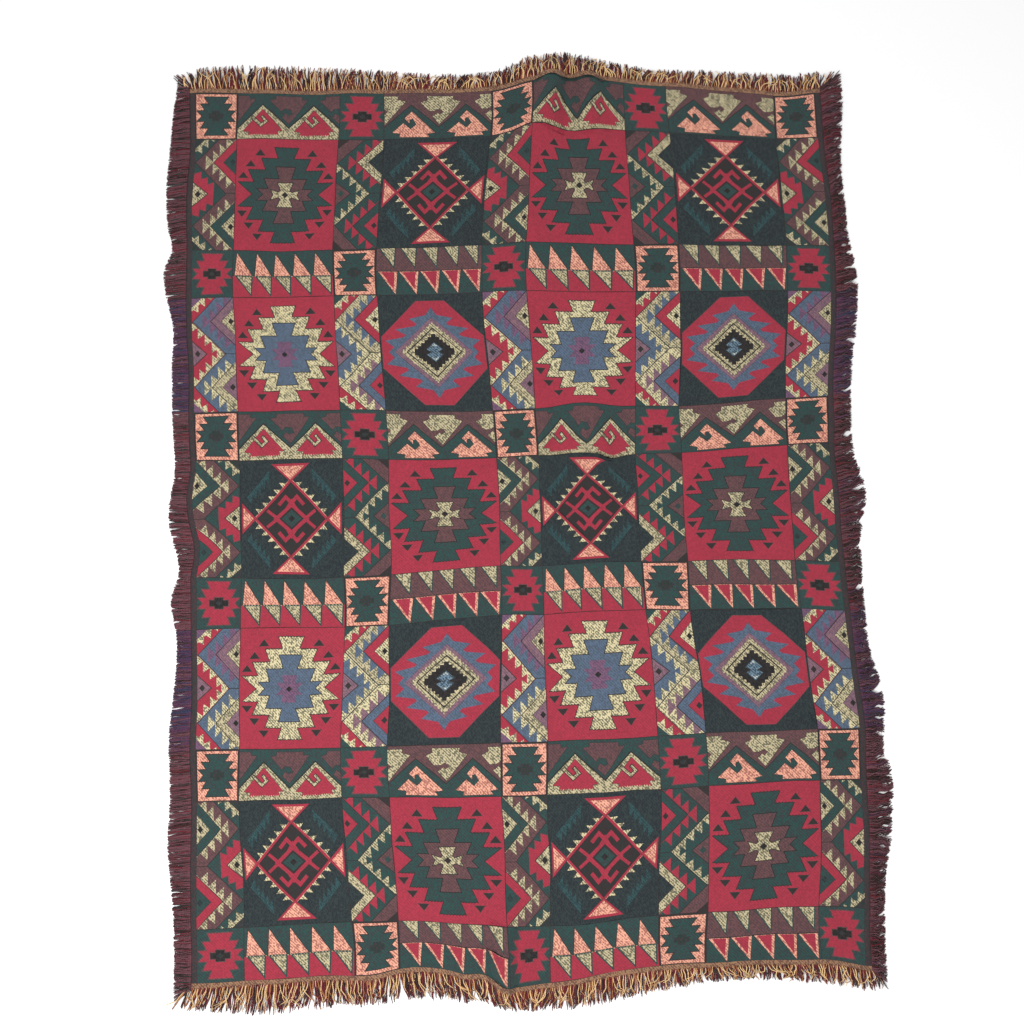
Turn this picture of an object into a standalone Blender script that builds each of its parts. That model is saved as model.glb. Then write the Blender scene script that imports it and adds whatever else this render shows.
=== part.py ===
"""Rug blanket: a woven cotton throw with fringe on all four sides, lying open on a floor.

Units are metres, +Z up. X runs across the blanket, Y along it towards its top edge, and the
floor is z = 0. The blanket is worked out flat first, in places named across and along, and
lay() then puts each place where the cloth really lies: pulled out of square by a few
centimetres, and lifted in a few folds.
"""
import math
import random

import bmesh
import bpy

# the woven pattern: nine columns of blocks and eleven rows, narrow and wide in turn
NARROW_COLUMN = 0.084
WIDE_COLUMN = 0.197
NARROW_ROW = 0.0922
WIDE_ROW = 0.2206
COLUMN_WIDTHS = [NARROW_COLUMN, WIDE_COLUMN] * 4 + [NARROW_COLUMN]
ROW_HEIGHTS = [NARROW_ROW, WIDE_ROW] * 5 + [NARROW_ROW]

# plain woven edges outside the pattern
SELVEDGE = 0.010
SIDE_BAND = 0.009
HEM = 0.012

CLOTH_THICKNESS = 0.002
FRINGE_THICKNESS = 0.002

# fringe: roots in a narrow strip, parted from the cloth's edge
PARTING = 0.0006
STRIP_WIDTH = 0.004
ROOT_SHARE = 0.80
WARP_TIP_SHARE = 0.30
WEFT_TIP_SHARE = 0.55
MIDDLE_SHARE = 0.86
MIDDLE_AT = 0.5
LENGTH_JITTER = 0.10
LEAN_JITTER = 0.0015
FOLD_FADE = 0.030

# corners closer than this are one corner
MERGE = 0.0002

# the frame stands on the outline: this moves the outline's middle to x = 0, y = 0
OUTLINE_SHIFT = (-0.0061, -0.0016)

HALF_PATTERN_WIDTH = sum(COLUMN_WIDTHS) / 2
HALF_PATTERN_LENGTH = sum(ROW_HEIGHTS) / 2
HALF_WIDTH = HALF_PATTERN_WIDTH + SELVEDGE + SIDE_BAND
HALF_LENGTH = HALF_PATTERN_LENGTH + HEM


def lines_from(start, steps):
    """Places of the lines between blocks, from the first line on."""
    places = [start]
    for step in steps:
        places.append(places[-1] + step)
    return places


COLUMN_LINES = lines_from(-HALF_PATTERN_WIDTH, COLUMN_WIDTHS)
ROW_LINES = lines_from(HALF_PATTERN_LENGTH, [-height for height in ROW_HEIGHTS])
TOP, BOTTOM = ROW_LINES[0], ROW_LINES[-1]


def row_middle(row):
    return (ROW_LINES[row] + ROW_LINES[row + 1]) / 2


# How far the lying cloth is out of square, in millimetres, at seven column lines:
# left edge, B|C, D|E, E|F, F|G, H|I, right edge
SHIFT_COLUMNS = [COLUMN_LINES[line] for line in (0, 2, 4, 5, 6, 8, 9)]

# place along       shift across (+ is to the right)
SIDEWAYS = [
    (row_middle(0), (1, 1, 17, 14, -8, 3, 1)),
    (row_middle(2), (-7, -17, -12, -11, 0, 11, 11)),
    (row_middle(4), (1, -3, 5, 1, -11, -7, -11)),
    (row_middle(6), (5, -3, 9, 1, -8, -3, -4)),
    (row_middle(8), (4, -12, -1, 1, 9, 19, 12)),
    (row_middle(10), (6, 7, 3, -6, -8, 2, -1)),
]

# place along       shift along (+ is to the top edge)
LENGTHWAYS = [
    (TOP, (13, 2, 0, 21, 10, -25, -22)),
    (row_middle(2), (7, 1, 3, 3, -5, -14, -18)),
    (row_middle(4), (4, 0, -10, -7, -9, -1, 4)),
    (row_middle(6), (3, -3, 11, 10, 13, 5, 1)),
    (row_middle(8), (0, -1, -4, -5, 1, 7, 6)),
    (ROW_LINES[10], (-6, 1, -16, -16, -5, 5, -1)),
    (BOTTOM, (-6, 0, -29, -23, 2, 3, -10)),
]

# Places where the cloth is pulled further, smoothly and within a reach:
# across, along, reach across, reach along, pull across, pull along (the pulls in millimetres)
PULLS = {
    "bottom edge drawn up beside the pucker":
        (COLUMN_LINES[3] + 0.058, BOTTOM, 0.128, 0.120, 0, 26),
    "top row drawn up at the first ridge":
        (COLUMN_LINES[5], ROW_LINES[1], 0.040, 0.090, 0, 7),
    "top row slack between the ridges":
        (COLUMN_LINES[5] + 0.090, ROW_LINES[1], 0.070, 0.090, 0, -9),
    "third band arched over the wide block":
        (COLUMN_LINES[5] + 0.090, ROW_LINES[4], 0.090, 0.060, 0, 11),
    "third band arched before its kink":
        (COLUMN_LINES[5] + 0.080, ROW_LINES[5], 0.070, 0.040, 0, 6),
    "third band hanging at its kink":
        (COLUMN_LINES[5] + 0.150, ROW_LINES[5], 0.024, 0.030, 0, -9),
    "left side bulging at the third wide row":
        (COLUMN_LINES[0], row_middle(5) + 0.040, 0.060, 0.060, -8, 0),
    "left side drawn in below that":
        (COLUMN_LINES[0], row_middle(5) - 0.060, 0.060, 0.055, 7, 0),
}

# Folds that stand up from the floor: crest from (across, along) to (across, along),
# half width and height at the start, half width and height at the end, starts at an edge
FOLDS = {
    "first ridge at the top edge": (
        COLUMN_LINES[5] + 0.040, TOP + HEM, COLUMN_LINES[5] + 0.024, TOP - 0.160,
        0.034, 0.026, 0.042, 0.007, True),
    "second ridge at the top edge": (
        COLUMN_LINES[5] + 0.122, TOP + HEM, COLUMN_LINES[5] + 0.128, TOP - 0.140,
        0.032, 0.022, 0.038, 0.006, True),
    "pucker at the bottom edge": (
        COLUMN_LINES[4] - 0.012, BOTTOM - HEM, COLUMN_LINES[4] + 0.004, BOTTOM + 0.160,
        0.024, 0.022, 0.028, 0.006, True),
    "soft fold left in the third wide row": (
        COLUMN_LINES[5] + 0.014, ROW_LINES[4] - 0.020, COLUMN_LINES[5] + 0.012, ROW_LINES[6],
        0.030, 0.008, 0.030, 0.007, False),
    "soft fold right in the third wide row": (
        COLUMN_LINES[5] + 0.140, ROW_LINES[4] - 0.010, COLUMN_LINES[5] + 0.112, ROW_LINES[6],
        0.030, 0.012, 0.034, 0.008, False),
    "crease above the lower right blocks": (
        COLUMN_LINES[9], ROW_LINES[8] + 0.006, COLUMN_LINES[7] - 0.020, ROW_LINES[8] + 0.002,
        0.024, 0.007, 0.026, 0.005, False),
    "low wave at the left side": (
        COLUMN_LINES[0] - 0.019, row_middle(5) - 0.010, COLUMN_LINES[2], row_middle(5) + 0.010,
        0.040, 0.006, 0.050, 0.003, True),
    "low wave at the right side": (
        COLUMN_LINES[9] + 0.019, row_middle(4), COLUMN_LINES[7], row_middle(5),
        0.045, 0.006, 0.050, 0.003, True),
}
# a fold from an edge keeps its full height over this share of its run
FULL_SHARE = 0.4

# Grid of the panel: the lines that the cells run between, and how many cells each span gets
ACROSS_SPANS = [
    (-HALF_WIDTH, 1), (COLUMN_LINES[0], 2), (COLUMN_LINES[1], 4), (COLUMN_LINES[2], 2),
    (COLUMN_LINES[3], 4), (COLUMN_LINES[3] + 0.115, 7), (COLUMN_LINES[4], 5), (COLUMN_LINES[5], 18),
    (COLUMN_LINES[6], 2), (COLUMN_LINES[7], 4), (COLUMN_LINES[8], 2), (COLUMN_LINES[9], 1),
    (HALF_WIDTH, 0),
]
ALONG_SPANS = [
    (HALF_LENGTH, 1), (ROW_LINES[0], 5), (ROW_LINES[1], 6), (ROW_LINES[2], 2), (ROW_LINES[3], 3),
    (ROW_LINES[4], 2), (ROW_LINES[5], 4), (ROW_LINES[6], 2), (ROW_LINES[7], 3),
    (ROW_LINES[8] + 0.042, 4), (ROW_LINES[8] - 0.030, 2), (ROW_LINES[9], 5), (ROW_LINES[10], 5),
    (ROW_LINES[11], 1), (-HALF_LENGTH, 0),
]

# Each fringe: how many locks it has, how much of its root width a lock keeps at its tip, and
# its reach: percent of the way along the edge, length and lean in millimetres.
# Top and bottom run from left to right, the sides from top to bottom. A lean is along the edge.
FRINGES = {
    "fringe_top": (70, WARP_TIP_SHARE, [
        (0, 24, -7), (4, 42, -5), (20, 45, 2), (33, 33, 4), (44, 28, 4), (50, 34, 3), (55, 42, -2),
        (61, 42, 3), (67, 30, 3), (75, 25, 4), (83, 29, 3), (95, 34, 4), (100, 32, 3)]),
    "fringe_bottom": (74, WARP_TIP_SHARE, [
        (0, 34, -6), (4, 38, -8), (12, 49, -4), (25, 43, 2), (34, 37, 3), (42, 32, 4), (47, 30, 6),
        (51, 34, -6), (60, 40, -3), (70, 33, 2), (75, 24, 2), (83, 23, 3), (92, 30, 3), (100, 30, 1)]),
    "fringe_left": (78, WEFT_TIP_SHARE, [
        (0, 16, 2), (3, 26, 3), (7, 30, 2), (16, 28, 2), (19, 20, 3), (22, 34, 3), (28, 17, 0),
        (33, 24, 0), (45, 22, 0), (50, 33, -2), (56, 15, 0), (59, 29, 0), (63, 20, 0), (70, 26, 1),
        (75, 30, 2), (84, 32, 2), (90, 26, 1), (100, 23, 0)]),
    "fringe_right": (78, WEFT_TIP_SHARE, [
        (0, 33, -2), (3, 33, -5), (7, 26, -6), (12, 16, -5), (18, 20, -4), (22, 31, -4),
        (28, 32, -3), (35, 28, -2), (42, 23, -2), (46, 31, -2), (50, 43, -3), (54, 26, -2),
        (66, 20, -1), (72, 33, -2), (77, 22, -1), (81, 38, -1), (86, 32, 0), (91, 21, 0), (100, 18, 0)]),
}


def smooth_between(stations, values, place):
    """A smooth curve through the stations' values, level beyond the first and last."""
    if place <= stations[0]:
        return values[0]
    if place >= stations[-1]:
        return values[-1]
    here = 0
    while place > stations[here + 1]:
        here += 1

    def slope(index):
        before, after = max(index - 1, 0), min(index + 1, len(stations) - 1)
        return (values[after] - values[before]) / (stations[after] - stations[before])

    span = stations[here + 1] - stations[here]
    t = (place - stations[here]) / span
    rise = 3 * t * t - 2 * t ** 3
    return ((1 - rise) * values[here] + rise * values[here + 1]
            + (t ** 3 - 2 * t * t + t) * span * slope(here) + (t ** 3 - t * t) * span * slope(here + 1))


def swell(distance):
    """1 in the middle, falling smoothly to 0 at a distance of 1."""
    return (1 - distance * distance) ** 2 if abs(distance) < 1 else 0.0


def shift_at(rows, across, along):
    stations = [-place for place, _ in rows]
    return smooth_between(stations, [smooth_between(SHIFT_COLUMNS, row, across) for _, row in rows], -along)


def fold_height(fold, across, along):
    """Height above the floor that one fold gives a place on the flat cloth."""
    from_across, from_along, to_across, to_along, width, height, end_width, end_height, at_edge = fold
    run_across, run_along = to_across - from_across, to_along - from_along
    run = math.hypot(run_across, run_along)
    off_across, off_along = across - from_across, along - from_along
    done = (off_across * run_across + off_along * run_along) / run ** 2
    beside = (off_across * run_along - off_along * run_across) / run
    fade = swell(max(done - FULL_SHARE, 0) / (1 - FULL_SHARE)) if at_edge else swell(2 * done - 1)
    done = min(max(done, 0), 1)
    half_width = width + (end_width - width) * done
    return fade * (height + (end_height - height) * done) * swell(beside / half_width)


def lay(across, along):
    """Where a place on the flat blanket lies; beyond the panel's edge its folds sink to the floor."""
    x = across + shift_at(SIDEWAYS, across, along) / 1000
    y = along + shift_at(LENGTHWAYS, across, along) / 1000
    for pull_across, pull_along, reach_across, reach_along, right, up in PULLS.values():
        share = swell((across - pull_across) / reach_across) * swell((along - pull_along) / reach_along)
        x += share * right / 1000
        y += share * up / 1000
    z = sum(fold_height(fold, across, along) for fold in FOLDS.values())
    beyond = max(abs(across) - HALF_WIDTH, abs(along) - HALF_LENGTH, 0.0)
    z *= swell(min(beyond / FOLD_FADE, 1.0))
    return x + OUTLINE_SHIFT[0], y + OUTLINE_SHIFT[1], z


def grid_lines(spans):
    """Evenly spaced lines within each span of a table of (start, cells)."""
    lines = []
    for (start, cells), (end, _) in zip(spans, spans[1:]):
        lines += [start + (end - start) * step / cells for step in range(cells)]
    return lines + [spans[-1][0]]


def make_material(name, color, roughness):
    material = bpy.data.materials.new(name)
    material.use_nodes = True
    shader = material.node_tree.nodes["Principled BSDF"]
    shader.inputs["Base Color"].default_value = (*color, 1)
    shader.inputs["Roughness"].default_value = roughness
    shader.inputs["Metallic"].default_value = 0
    return material


def add_sheet(name, mesh_edit, thickness, material, collection):
    """An object from an open sheet whose underside lies where it was worked out."""
    bmesh.ops.recalc_face_normals(mesh_edit, faces=mesh_edit.faces)
    if sum(face.normal.z for face in mesh_edit.faces) < 0:
        bmesh.ops.reverse_faces(mesh_edit, faces=mesh_edit.faces)
    mesh = bpy.data.meshes.new(name)
    mesh_edit.to_mesh(mesh)
    mesh_edit.free()
    mesh.materials.append(material)
    sheet = bpy.data.objects.new(name, mesh)
    collection.objects.link(sheet)
    solidify = sheet.modifiers.new("Thickness", "SOLIDIFY")
    solidify.thickness = thickness
    solidify.offset = 1
    return sheet


def make_cloth(material, collection):
    """The woven panel with its hems and side bands, as one sheet on a grid."""
    mesh_edit = bmesh.new()
    across_lines = grid_lines(ACROSS_SPANS)
    rows = [[mesh_edit.verts.new(lay(across, along)) for across in across_lines]
            for along in grid_lines(ALONG_SPANS)]
    for upper, lower in zip(rows, rows[1:]):
        for column in range(len(across_lines) - 1):
            mesh_edit.faces.new((upper[column], lower[column], lower[column + 1], upper[column + 1]))
    return add_sheet("cloth", mesh_edit, CLOTH_THICKNESS, material, collection)


def on_side(name):
    return name in ("fringe_left", "fringe_right")


def edge_place(name, run, out):
    """Flat place at a distance out from an edge; run goes to the right or, on a side, down."""
    if name == "fringe_top":
        return run, HALF_LENGTH + out
    if name == "fringe_bottom":
        return run, -HALF_LENGTH - out
    if name == "fringe_left":
        return -HALF_WIDTH - out, -run
    return HALF_WIDTH + out, -run


def lay_beside(name, stations, run, out):
    """Like lay(), but straight between the panel's grid lines, so a strip runs true to its edge."""
    here = max(index for index, station in enumerate(stations[:-1])
               if station <= run + MERGE or index == 0)
    start, end = stations[here], stations[here + 1]
    share = (run - start) / (end - start)
    before, after = lay(*edge_place(name, start, out)), lay(*edge_place(name, end, out))
    return [low + (high - low) * share for low, high in zip(before, after)]


def fringe_locks(name, half_edge):
    """Middle, half root width, length and lean of each lock along an edge."""
    count, _, reach = FRINGES[name]
    draw = random.Random(name)
    pitch = 2 * half_edge / count
    percents = [percent for percent, _, _ in reach]
    for lock in range(count):
        percent = 100 * (lock + 0.5) / count
        length = smooth_between(percents, [row[1] for row in reach], percent) / 1000
        length *= 1 + draw.uniform(-LENGTH_JITTER, LENGTH_JITTER)
        lean = smooth_between(percents, [row[2] for row in reach], percent) / 1000
        lean += draw.uniform(-LEAN_JITTER, LEAN_JITTER)
        yield -half_edge + (lock + 0.5) * pitch, ROOT_SHARE * pitch / 2, length, lean


def make_fringe(name, material, collection):
    """A comb of flat locks whose roots share one strip along the edge."""
    if on_side(name):
        half_edge, stations = HALF_LENGTH, sorted(-along for along in grid_lines(ALONG_SPANS))
    else:
        half_edge, stations = HALF_WIDTH, grid_lines(ACROSS_SPANS)
    tip_share = FRINGES[name][1]
    locks = list(fringe_locks(name, half_edge))
    mesh_edit = bmesh.new()

    def point(run, out):
        return mesh_edit.verts.new(lay_beside(name, stations, run, out))

    roots = [middle + side * half_root for middle, half_root, _, _ in locks for side in (-1, 1)]
    bends = [station for station in stations[1:-1] if min(abs(station - root) for root in roots) > MERGE]
    runs = sorted(roots + bends)
    outer_out = PARTING + STRIP_WIDTH
    inner = [point(run, PARTING) for run in runs]
    outer = [point(run, outer_out) for run in runs]
    for index in range(len(runs) - 1):
        mesh_edit.faces.new((inner[index], outer[index], outer[index + 1], inner[index + 1]))

    for middle, half_root, length, lean in locks:
        root = [corner for corner, run in zip(outer, runs) if abs(run - middle) <= half_root + MERGE / 2]
        rows = [(half_root * MIDDLE_SHARE, outer_out + (length - outer_out) * MIDDLE_AT, lean * MIDDLE_AT),
                (half_root * tip_share, length, lean)]
        for half_width, out, shift in rows:
            left, right = (point(middle + side * half_width + shift, out) for side in (-1, 1))
            mesh_edit.faces.new((*root, right, left))
            root = [left, right]
    return add_sheet(name, mesh_edit, FRINGE_THICKNESS, material, collection)


def main():
    for thing in list(bpy.data.objects):
        bpy.data.objects.remove(thing, do_unlink=True)
    collection = bpy.data.collections.new("rug_blanket")
    bpy.context.scene.collection.children.link(collection)
    woven_cotton = make_material("woven_cotton", (0.30, 0.06, 0.07), 0.9)
    warp_yarn = make_material("warp_yarn", (0.32, 0.22, 0.14), 0.9)
    weft_yarn = make_material("weft_yarn", (0.14, 0.05, 0.06), 0.9)
    make_cloth(woven_cotton, collection)
    for name in FRINGES:
        make_fringe(name, weft_yarn if on_side(name) else warp_yarn, collection)


main()
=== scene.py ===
# %% [markdown]
# A woven rug blanket, dressed for the camera.
#
# The real thing is one jacquard-woven cotton cloth: 99 blocks of old kilim motifs, a plain hem at
# the top and bottom, a plain band at each side, and fringe all round. It lies open on a floor,
# a few centimetres out of square, with two ridges at its top edge and a pucker at its bottom one.
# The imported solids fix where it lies. This script makes the cloth and the yarns that are seen.

# %% Load the frame
import math

import bpy
import numpy as np
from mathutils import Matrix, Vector
from mathutils.geometry import delaunay_2d_cdt


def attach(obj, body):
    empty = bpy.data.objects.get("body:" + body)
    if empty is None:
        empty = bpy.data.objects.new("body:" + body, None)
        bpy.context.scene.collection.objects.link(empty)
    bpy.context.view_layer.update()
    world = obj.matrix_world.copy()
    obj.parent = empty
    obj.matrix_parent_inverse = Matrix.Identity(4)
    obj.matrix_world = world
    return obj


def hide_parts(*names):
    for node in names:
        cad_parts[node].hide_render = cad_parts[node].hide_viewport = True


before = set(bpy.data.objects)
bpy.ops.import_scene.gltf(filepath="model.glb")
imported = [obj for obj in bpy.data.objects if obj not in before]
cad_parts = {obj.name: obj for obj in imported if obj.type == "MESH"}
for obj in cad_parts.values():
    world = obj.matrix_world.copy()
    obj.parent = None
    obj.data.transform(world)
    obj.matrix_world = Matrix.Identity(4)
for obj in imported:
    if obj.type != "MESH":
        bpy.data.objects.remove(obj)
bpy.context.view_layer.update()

# %% [markdown]
# The blanket is drawn flat first. A place on the flat cloth is named by how far across and how
# far along it lies, in metres from the middle of the pattern. Narrow and wide columns take turns,
# and so do narrow and wide rows. These are the sizes that the solids have.

# %% Flat plan
NARROW_COLUMN, WIDE_COLUMN = 0.084, 0.197
NARROW_ROW, WIDE_ROW = 0.0922, 0.2206
COLUMN_WIDTHS = [NARROW_COLUMN, WIDE_COLUMN] * 4 + [NARROW_COLUMN]
ROW_HEIGHTS = [NARROW_ROW, WIDE_ROW] * 5 + [NARROW_ROW]
SELVEDGE, SIDE_BAND, HEM = 0.010, 0.009, 0.012
CLOTH_THICKNESS = 0.002

HALF_PATTERN_WIDTH = sum(COLUMN_WIDTHS) / 2
HALF_PATTERN_LENGTH = sum(ROW_HEIGHTS) / 2
HALF_WIDTH = HALF_PATTERN_WIDTH + SELVEDGE + SIDE_BAND
HALF_LENGTH = HALF_PATTERN_LENGTH + HEM


def lines_from(start, steps):
    """Places of the lines between blocks, from the first line on."""
    places = [start]
    for step in steps:
        places.append(places[-1] + step)
    return places


COLUMN_LINES = lines_from(-HALF_PATTERN_WIDTH, COLUMN_WIDTHS)
ROW_LINES = lines_from(HALF_PATTERN_LENGTH, [-height for height in ROW_HEIGHTS])
TOP, BOTTOM = ROW_LINES[0], ROW_LINES[-1]
print("flat cloth:", round(2 * HALF_WIDTH, 3), "by", round(2 * HALF_LENGTH, 3), "m")


def row_middle(row):
    return (ROW_LINES[row] + ROW_LINES[row + 1]) / 2


# %% [markdown]
# Then lay() puts each flat place where the cloth really lies. It is the rule by which the solids
# were made, with one pull more: two tables of shifts in millimetres, a few local pulls, and folds
# that stand up from the floor. It works on whole arrays, because the fine cloth has tens of
# thousands of places.

# %% How it lies
OUTLINE_SHIFT = (-0.0061, -0.0016)
SHIFT_COLUMNS = [COLUMN_LINES[line] for line in (0, 2, 4, 5, 6, 8, 9)]

# place along       shift across (+ is to the right)
SIDEWAYS = [
    (row_middle(0), (1, 1, 17, 14, -8, 3, 1)),
    (row_middle(2), (-7, -17, -12, -11, 0, 11, 11)),
    (row_middle(4), (1, -3, 5, 1, -11, -7, -11)),
    (row_middle(6), (5, -3, 9, 1, -8, -3, -4)),
    (row_middle(8), (4, -12, -1, 1, 9, 19, 12)),
    (row_middle(10), (6, 7, 3, -6, -8, 2, -1)),
]

# place along       shift along (+ is to the top edge)
LENGTHWAYS = [
    (TOP, (13, 2, 0, 21, 10, -25, -22)),
    (row_middle(2), (7, 1, 3, 3, -5, -14, -18)),
    (row_middle(4), (4, 0, -10, -7, -9, -1, 4)),
    (row_middle(6), (3, -3, 11, 10, 13, 5, 1)),
    (row_middle(8), (0, -1, -4, -5, 1, 7, 6)),
    (ROW_LINES[10], (-6, 1, -16, -16, -5, 5, -1)),
    (BOTTOM, (-6, 0, -29, -23, 2, 3, -10)),
]

# across, along, reach across, reach along, pull across, pull along (the pulls in millimetres)
PULLS = {
    "bottom edge drawn up beside the pucker":
        (COLUMN_LINES[3] + 0.058, BOTTOM, 0.128, 0.120, 0, 26),
    "hem held up just before the pucker, in this script alone":
        (COLUMN_LINES[4] - 0.042, BOTTOM, 0.046, 0.090, 0, 14),
    "top row drawn up at the first ridge":
        (COLUMN_LINES[5], ROW_LINES[1], 0.040, 0.090, 0, 7),
    "top row slack between the ridges":
        (COLUMN_LINES[5] + 0.090, ROW_LINES[1], 0.070, 0.090, 0, -9),
    "third band arched over the wide block":
        (COLUMN_LINES[5] + 0.090, ROW_LINES[4], 0.090, 0.060, 0, 11),
    "third band arched before its kink":
        (COLUMN_LINES[5] + 0.080, ROW_LINES[5], 0.070, 0.040, 0, 6),
    "third band hanging at its kink":
        (COLUMN_LINES[5] + 0.148, ROW_LINES[5], 0.032, 0.044, 0, -9),
    "left side bulging at the third wide row":
        (COLUMN_LINES[0], row_middle(5) + 0.040, 0.060, 0.060, -8, 0),
    "left side drawn in below that":
        (COLUMN_LINES[0], row_middle(5) - 0.060, 0.060, 0.055, 7, 0),
}

# crest from (across, along) to (across, along), half width and height at the start,
# half width and height at the end, starts at an edge
FOLDS = {
    "first ridge at the top edge": (
        COLUMN_LINES[5] + 0.040, TOP + HEM, COLUMN_LINES[5] + 0.024, TOP - 0.160,
        0.034, 0.026, 0.042, 0.007, True),
    "second ridge at the top edge": (
        COLUMN_LINES[5] + 0.122, TOP + HEM, COLUMN_LINES[5] + 0.128, TOP - 0.140,
        0.032, 0.022, 0.038, 0.006, True),
    "pucker at the bottom edge": (
        COLUMN_LINES[4] - 0.012, BOTTOM - HEM, COLUMN_LINES[4] + 0.004, BOTTOM + 0.160,
        0.024, 0.022, 0.028, 0.006, True),
    "soft fold left in the third wide row": (
        COLUMN_LINES[5] + 0.014, ROW_LINES[4] - 0.020, COLUMN_LINES[5] + 0.012, ROW_LINES[6],
        0.030, 0.008, 0.030, 0.007, False),
    "soft fold right in the third wide row": (
        COLUMN_LINES[5] + 0.140, ROW_LINES[4] - 0.010, COLUMN_LINES[5] + 0.112, ROW_LINES[6],
        0.030, 0.012, 0.034, 0.008, False),
    "crease above the lower right blocks": (
        COLUMN_LINES[9], ROW_LINES[8] + 0.006, COLUMN_LINES[7] - 0.020, ROW_LINES[8] + 0.002,
        0.024, 0.007, 0.026, 0.005, False),
    "low wave at the left side": (
        COLUMN_LINES[0] - 0.019, row_middle(5) - 0.010, COLUMN_LINES[2], row_middle(5) + 0.010,
        0.040, 0.006, 0.050, 0.003, True),
    "low wave at the right side": (
        COLUMN_LINES[9] + 0.019, row_middle(4), COLUMN_LINES[7], row_middle(5),
        0.045, 0.006, 0.050, 0.003, True),
}
FULL_SHARE = 0.4
FOLD_FADE = 0.030


def smooth_between(stations, values, places):
    """A smooth curve through the stations' values; a value is a number or a number per place."""
    stations, values = np.asarray(stations, float), np.asarray(values, float)
    places = np.clip(places, stations[0], stations[-1])
    last = len(stations) - 1
    here = np.clip(np.searchsorted(stations, places) - 1, 0, last - 1)
    before, after = np.maximum(np.arange(last + 1) - 1, 0), np.minimum(np.arange(last + 1) + 1, last)
    slopes = ((values[after].T - values[before].T) / (stations[after] - stations[before])).T
    if values.ndim == 2:
        here_now, next_now = (here, np.arange(len(places))), (here + 1, np.arange(len(places)))
    else:
        here_now, next_now = here, here + 1
    span = stations[here + 1] - stations[here]
    t = (places - stations[here]) / span
    rise = 3 * t * t - 2 * t ** 3
    return ((1 - rise) * values[here_now] + rise * values[next_now]
            + (t ** 3 - 2 * t * t + t) * span * slopes[here_now]
            + (t ** 3 - t * t) * span * slopes[next_now])


def swell(distance):
    """1 in the middle, falling smoothly to 0 at a distance of 1."""
    return np.where(np.abs(distance) < 1, (1 - distance * distance) ** 2, 0.0)


def shift_at(rows, across, along):
    """What a table of shifts gives at flat places, in metres."""
    by_row = [smooth_between(SHIFT_COLUMNS, row, across) for _, row in rows]
    return smooth_between([-place for place, _ in rows], by_row, -along) / 1000


def fold_height(fold, across, along):
    """Height above the floor that one fold gives places on the flat cloth."""
    from_across, from_along, to_across, to_along, width, height, end_width, end_height, at_edge = fold
    run_across, run_along = to_across - from_across, to_along - from_along
    run = math.hypot(run_across, run_along)
    off_across, off_along = across - from_across, along - from_along
    done = (off_across * run_across + off_along * run_along) / run ** 2
    beside = (off_across * run_along - off_along * run_across) / run
    from_edge = swell(np.maximum(done - FULL_SHARE, 0) / (1 - FULL_SHARE))
    fade = from_edge if at_edge else swell(2 * done - 1)
    done = np.clip(done, 0, 1)
    half_width = width + (end_width - width) * done
    return fade * (height + (end_height - height) * done) * swell(beside / half_width)


def lay(across, along):
    """Where flat places lie: an array of x, y and the height of the cloth's underside."""
    across, along = np.asarray(across, float), np.asarray(along, float)
    x = across + shift_at(SIDEWAYS, across, along)
    y = along + shift_at(LENGTHWAYS, across, along)
    for pull_across, pull_along, reach_across, reach_along, right, up in PULLS.values():
        share = swell((across - pull_across) / reach_across) * swell((along - pull_along) / reach_along)
        x = x + share * right / 1000
        y = y + share * up / 1000
    z = sum(fold_height(fold, across, along) for fold in FOLDS.values())
    beyond = np.maximum(np.maximum(np.abs(across) - HALF_WIDTH, np.abs(along) - HALF_LENGTH), 0.0)
    z = z * swell(np.minimum(beyond / FOLD_FADE, 1.0))
    return np.stack([x + OUTLINE_SHIFT[0], y + OUTLINE_SHIFT[1], z], -1)


print("laid with", len(PULLS), "local pulls and", len(FOLDS), "folds")

# %% [markdown]
# The camera stands where the photograph was taken from: 2.2 m above the blanket's lower half,
# tipped a few degrees. A pale floor, an even white sky and one soft lamp come next. The photograph
# is brightest in its middle rows, so the lamp hangs over the lower left part, is aimed near the
# middle, and throws soft shadows beside the folds. A sky alone would leave them flat.

# %% Camera
CAMERA_PLACE = (-0.0230, -0.2570, 2.2248)
CAMERA_TIP, CAMERA_TURN = math.radians(6.56), math.radians(-1.66)
LENS, SENSOR = 42, 36

bpy.ops.object.select_all(action="DESELECT")
bpy.ops.object.camera_add(location=CAMERA_PLACE, rotation=(CAMERA_TIP, 0, CAMERA_TURN))
camera = bpy.context.object
camera.data.lens = LENS
camera.data.sensor_width = SENSOR
bpy.context.scene.camera = camera
print("camera at", CAMERA_PLACE)

# %% Floor and light
FLOOR_REACH = 30
FLOOR_DROP = 0.0004
WORLD_STRENGTH = 0.84
LAMP_WATTS, LAMP_SIZE = 30, 0.8
LAMP_PLACE, LAMP_AIM = Vector((-0.60, -0.80, 1.85)), Vector((0.05, 0.20, 0))

bpy.ops.mesh.primitive_plane_add(size=FLOOR_REACH, location=(0, 0, -FLOOR_DROP))
floor = bpy.context.object
floor.name = "floor"
floor_finish = bpy.data.materials.new("pale_floor")
floor_finish.use_nodes = True
floor_shader = floor_finish.node_tree.nodes["Principled BSDF"]
floor_shader.inputs["Base Color"].default_value = (0.93, 0.93, 0.93, 1)
floor_shader.inputs["Roughness"].default_value = 0.9
floor_shader.inputs["Specular IOR Level"].default_value = 0.0
floor.data.materials.append(floor_finish)

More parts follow.
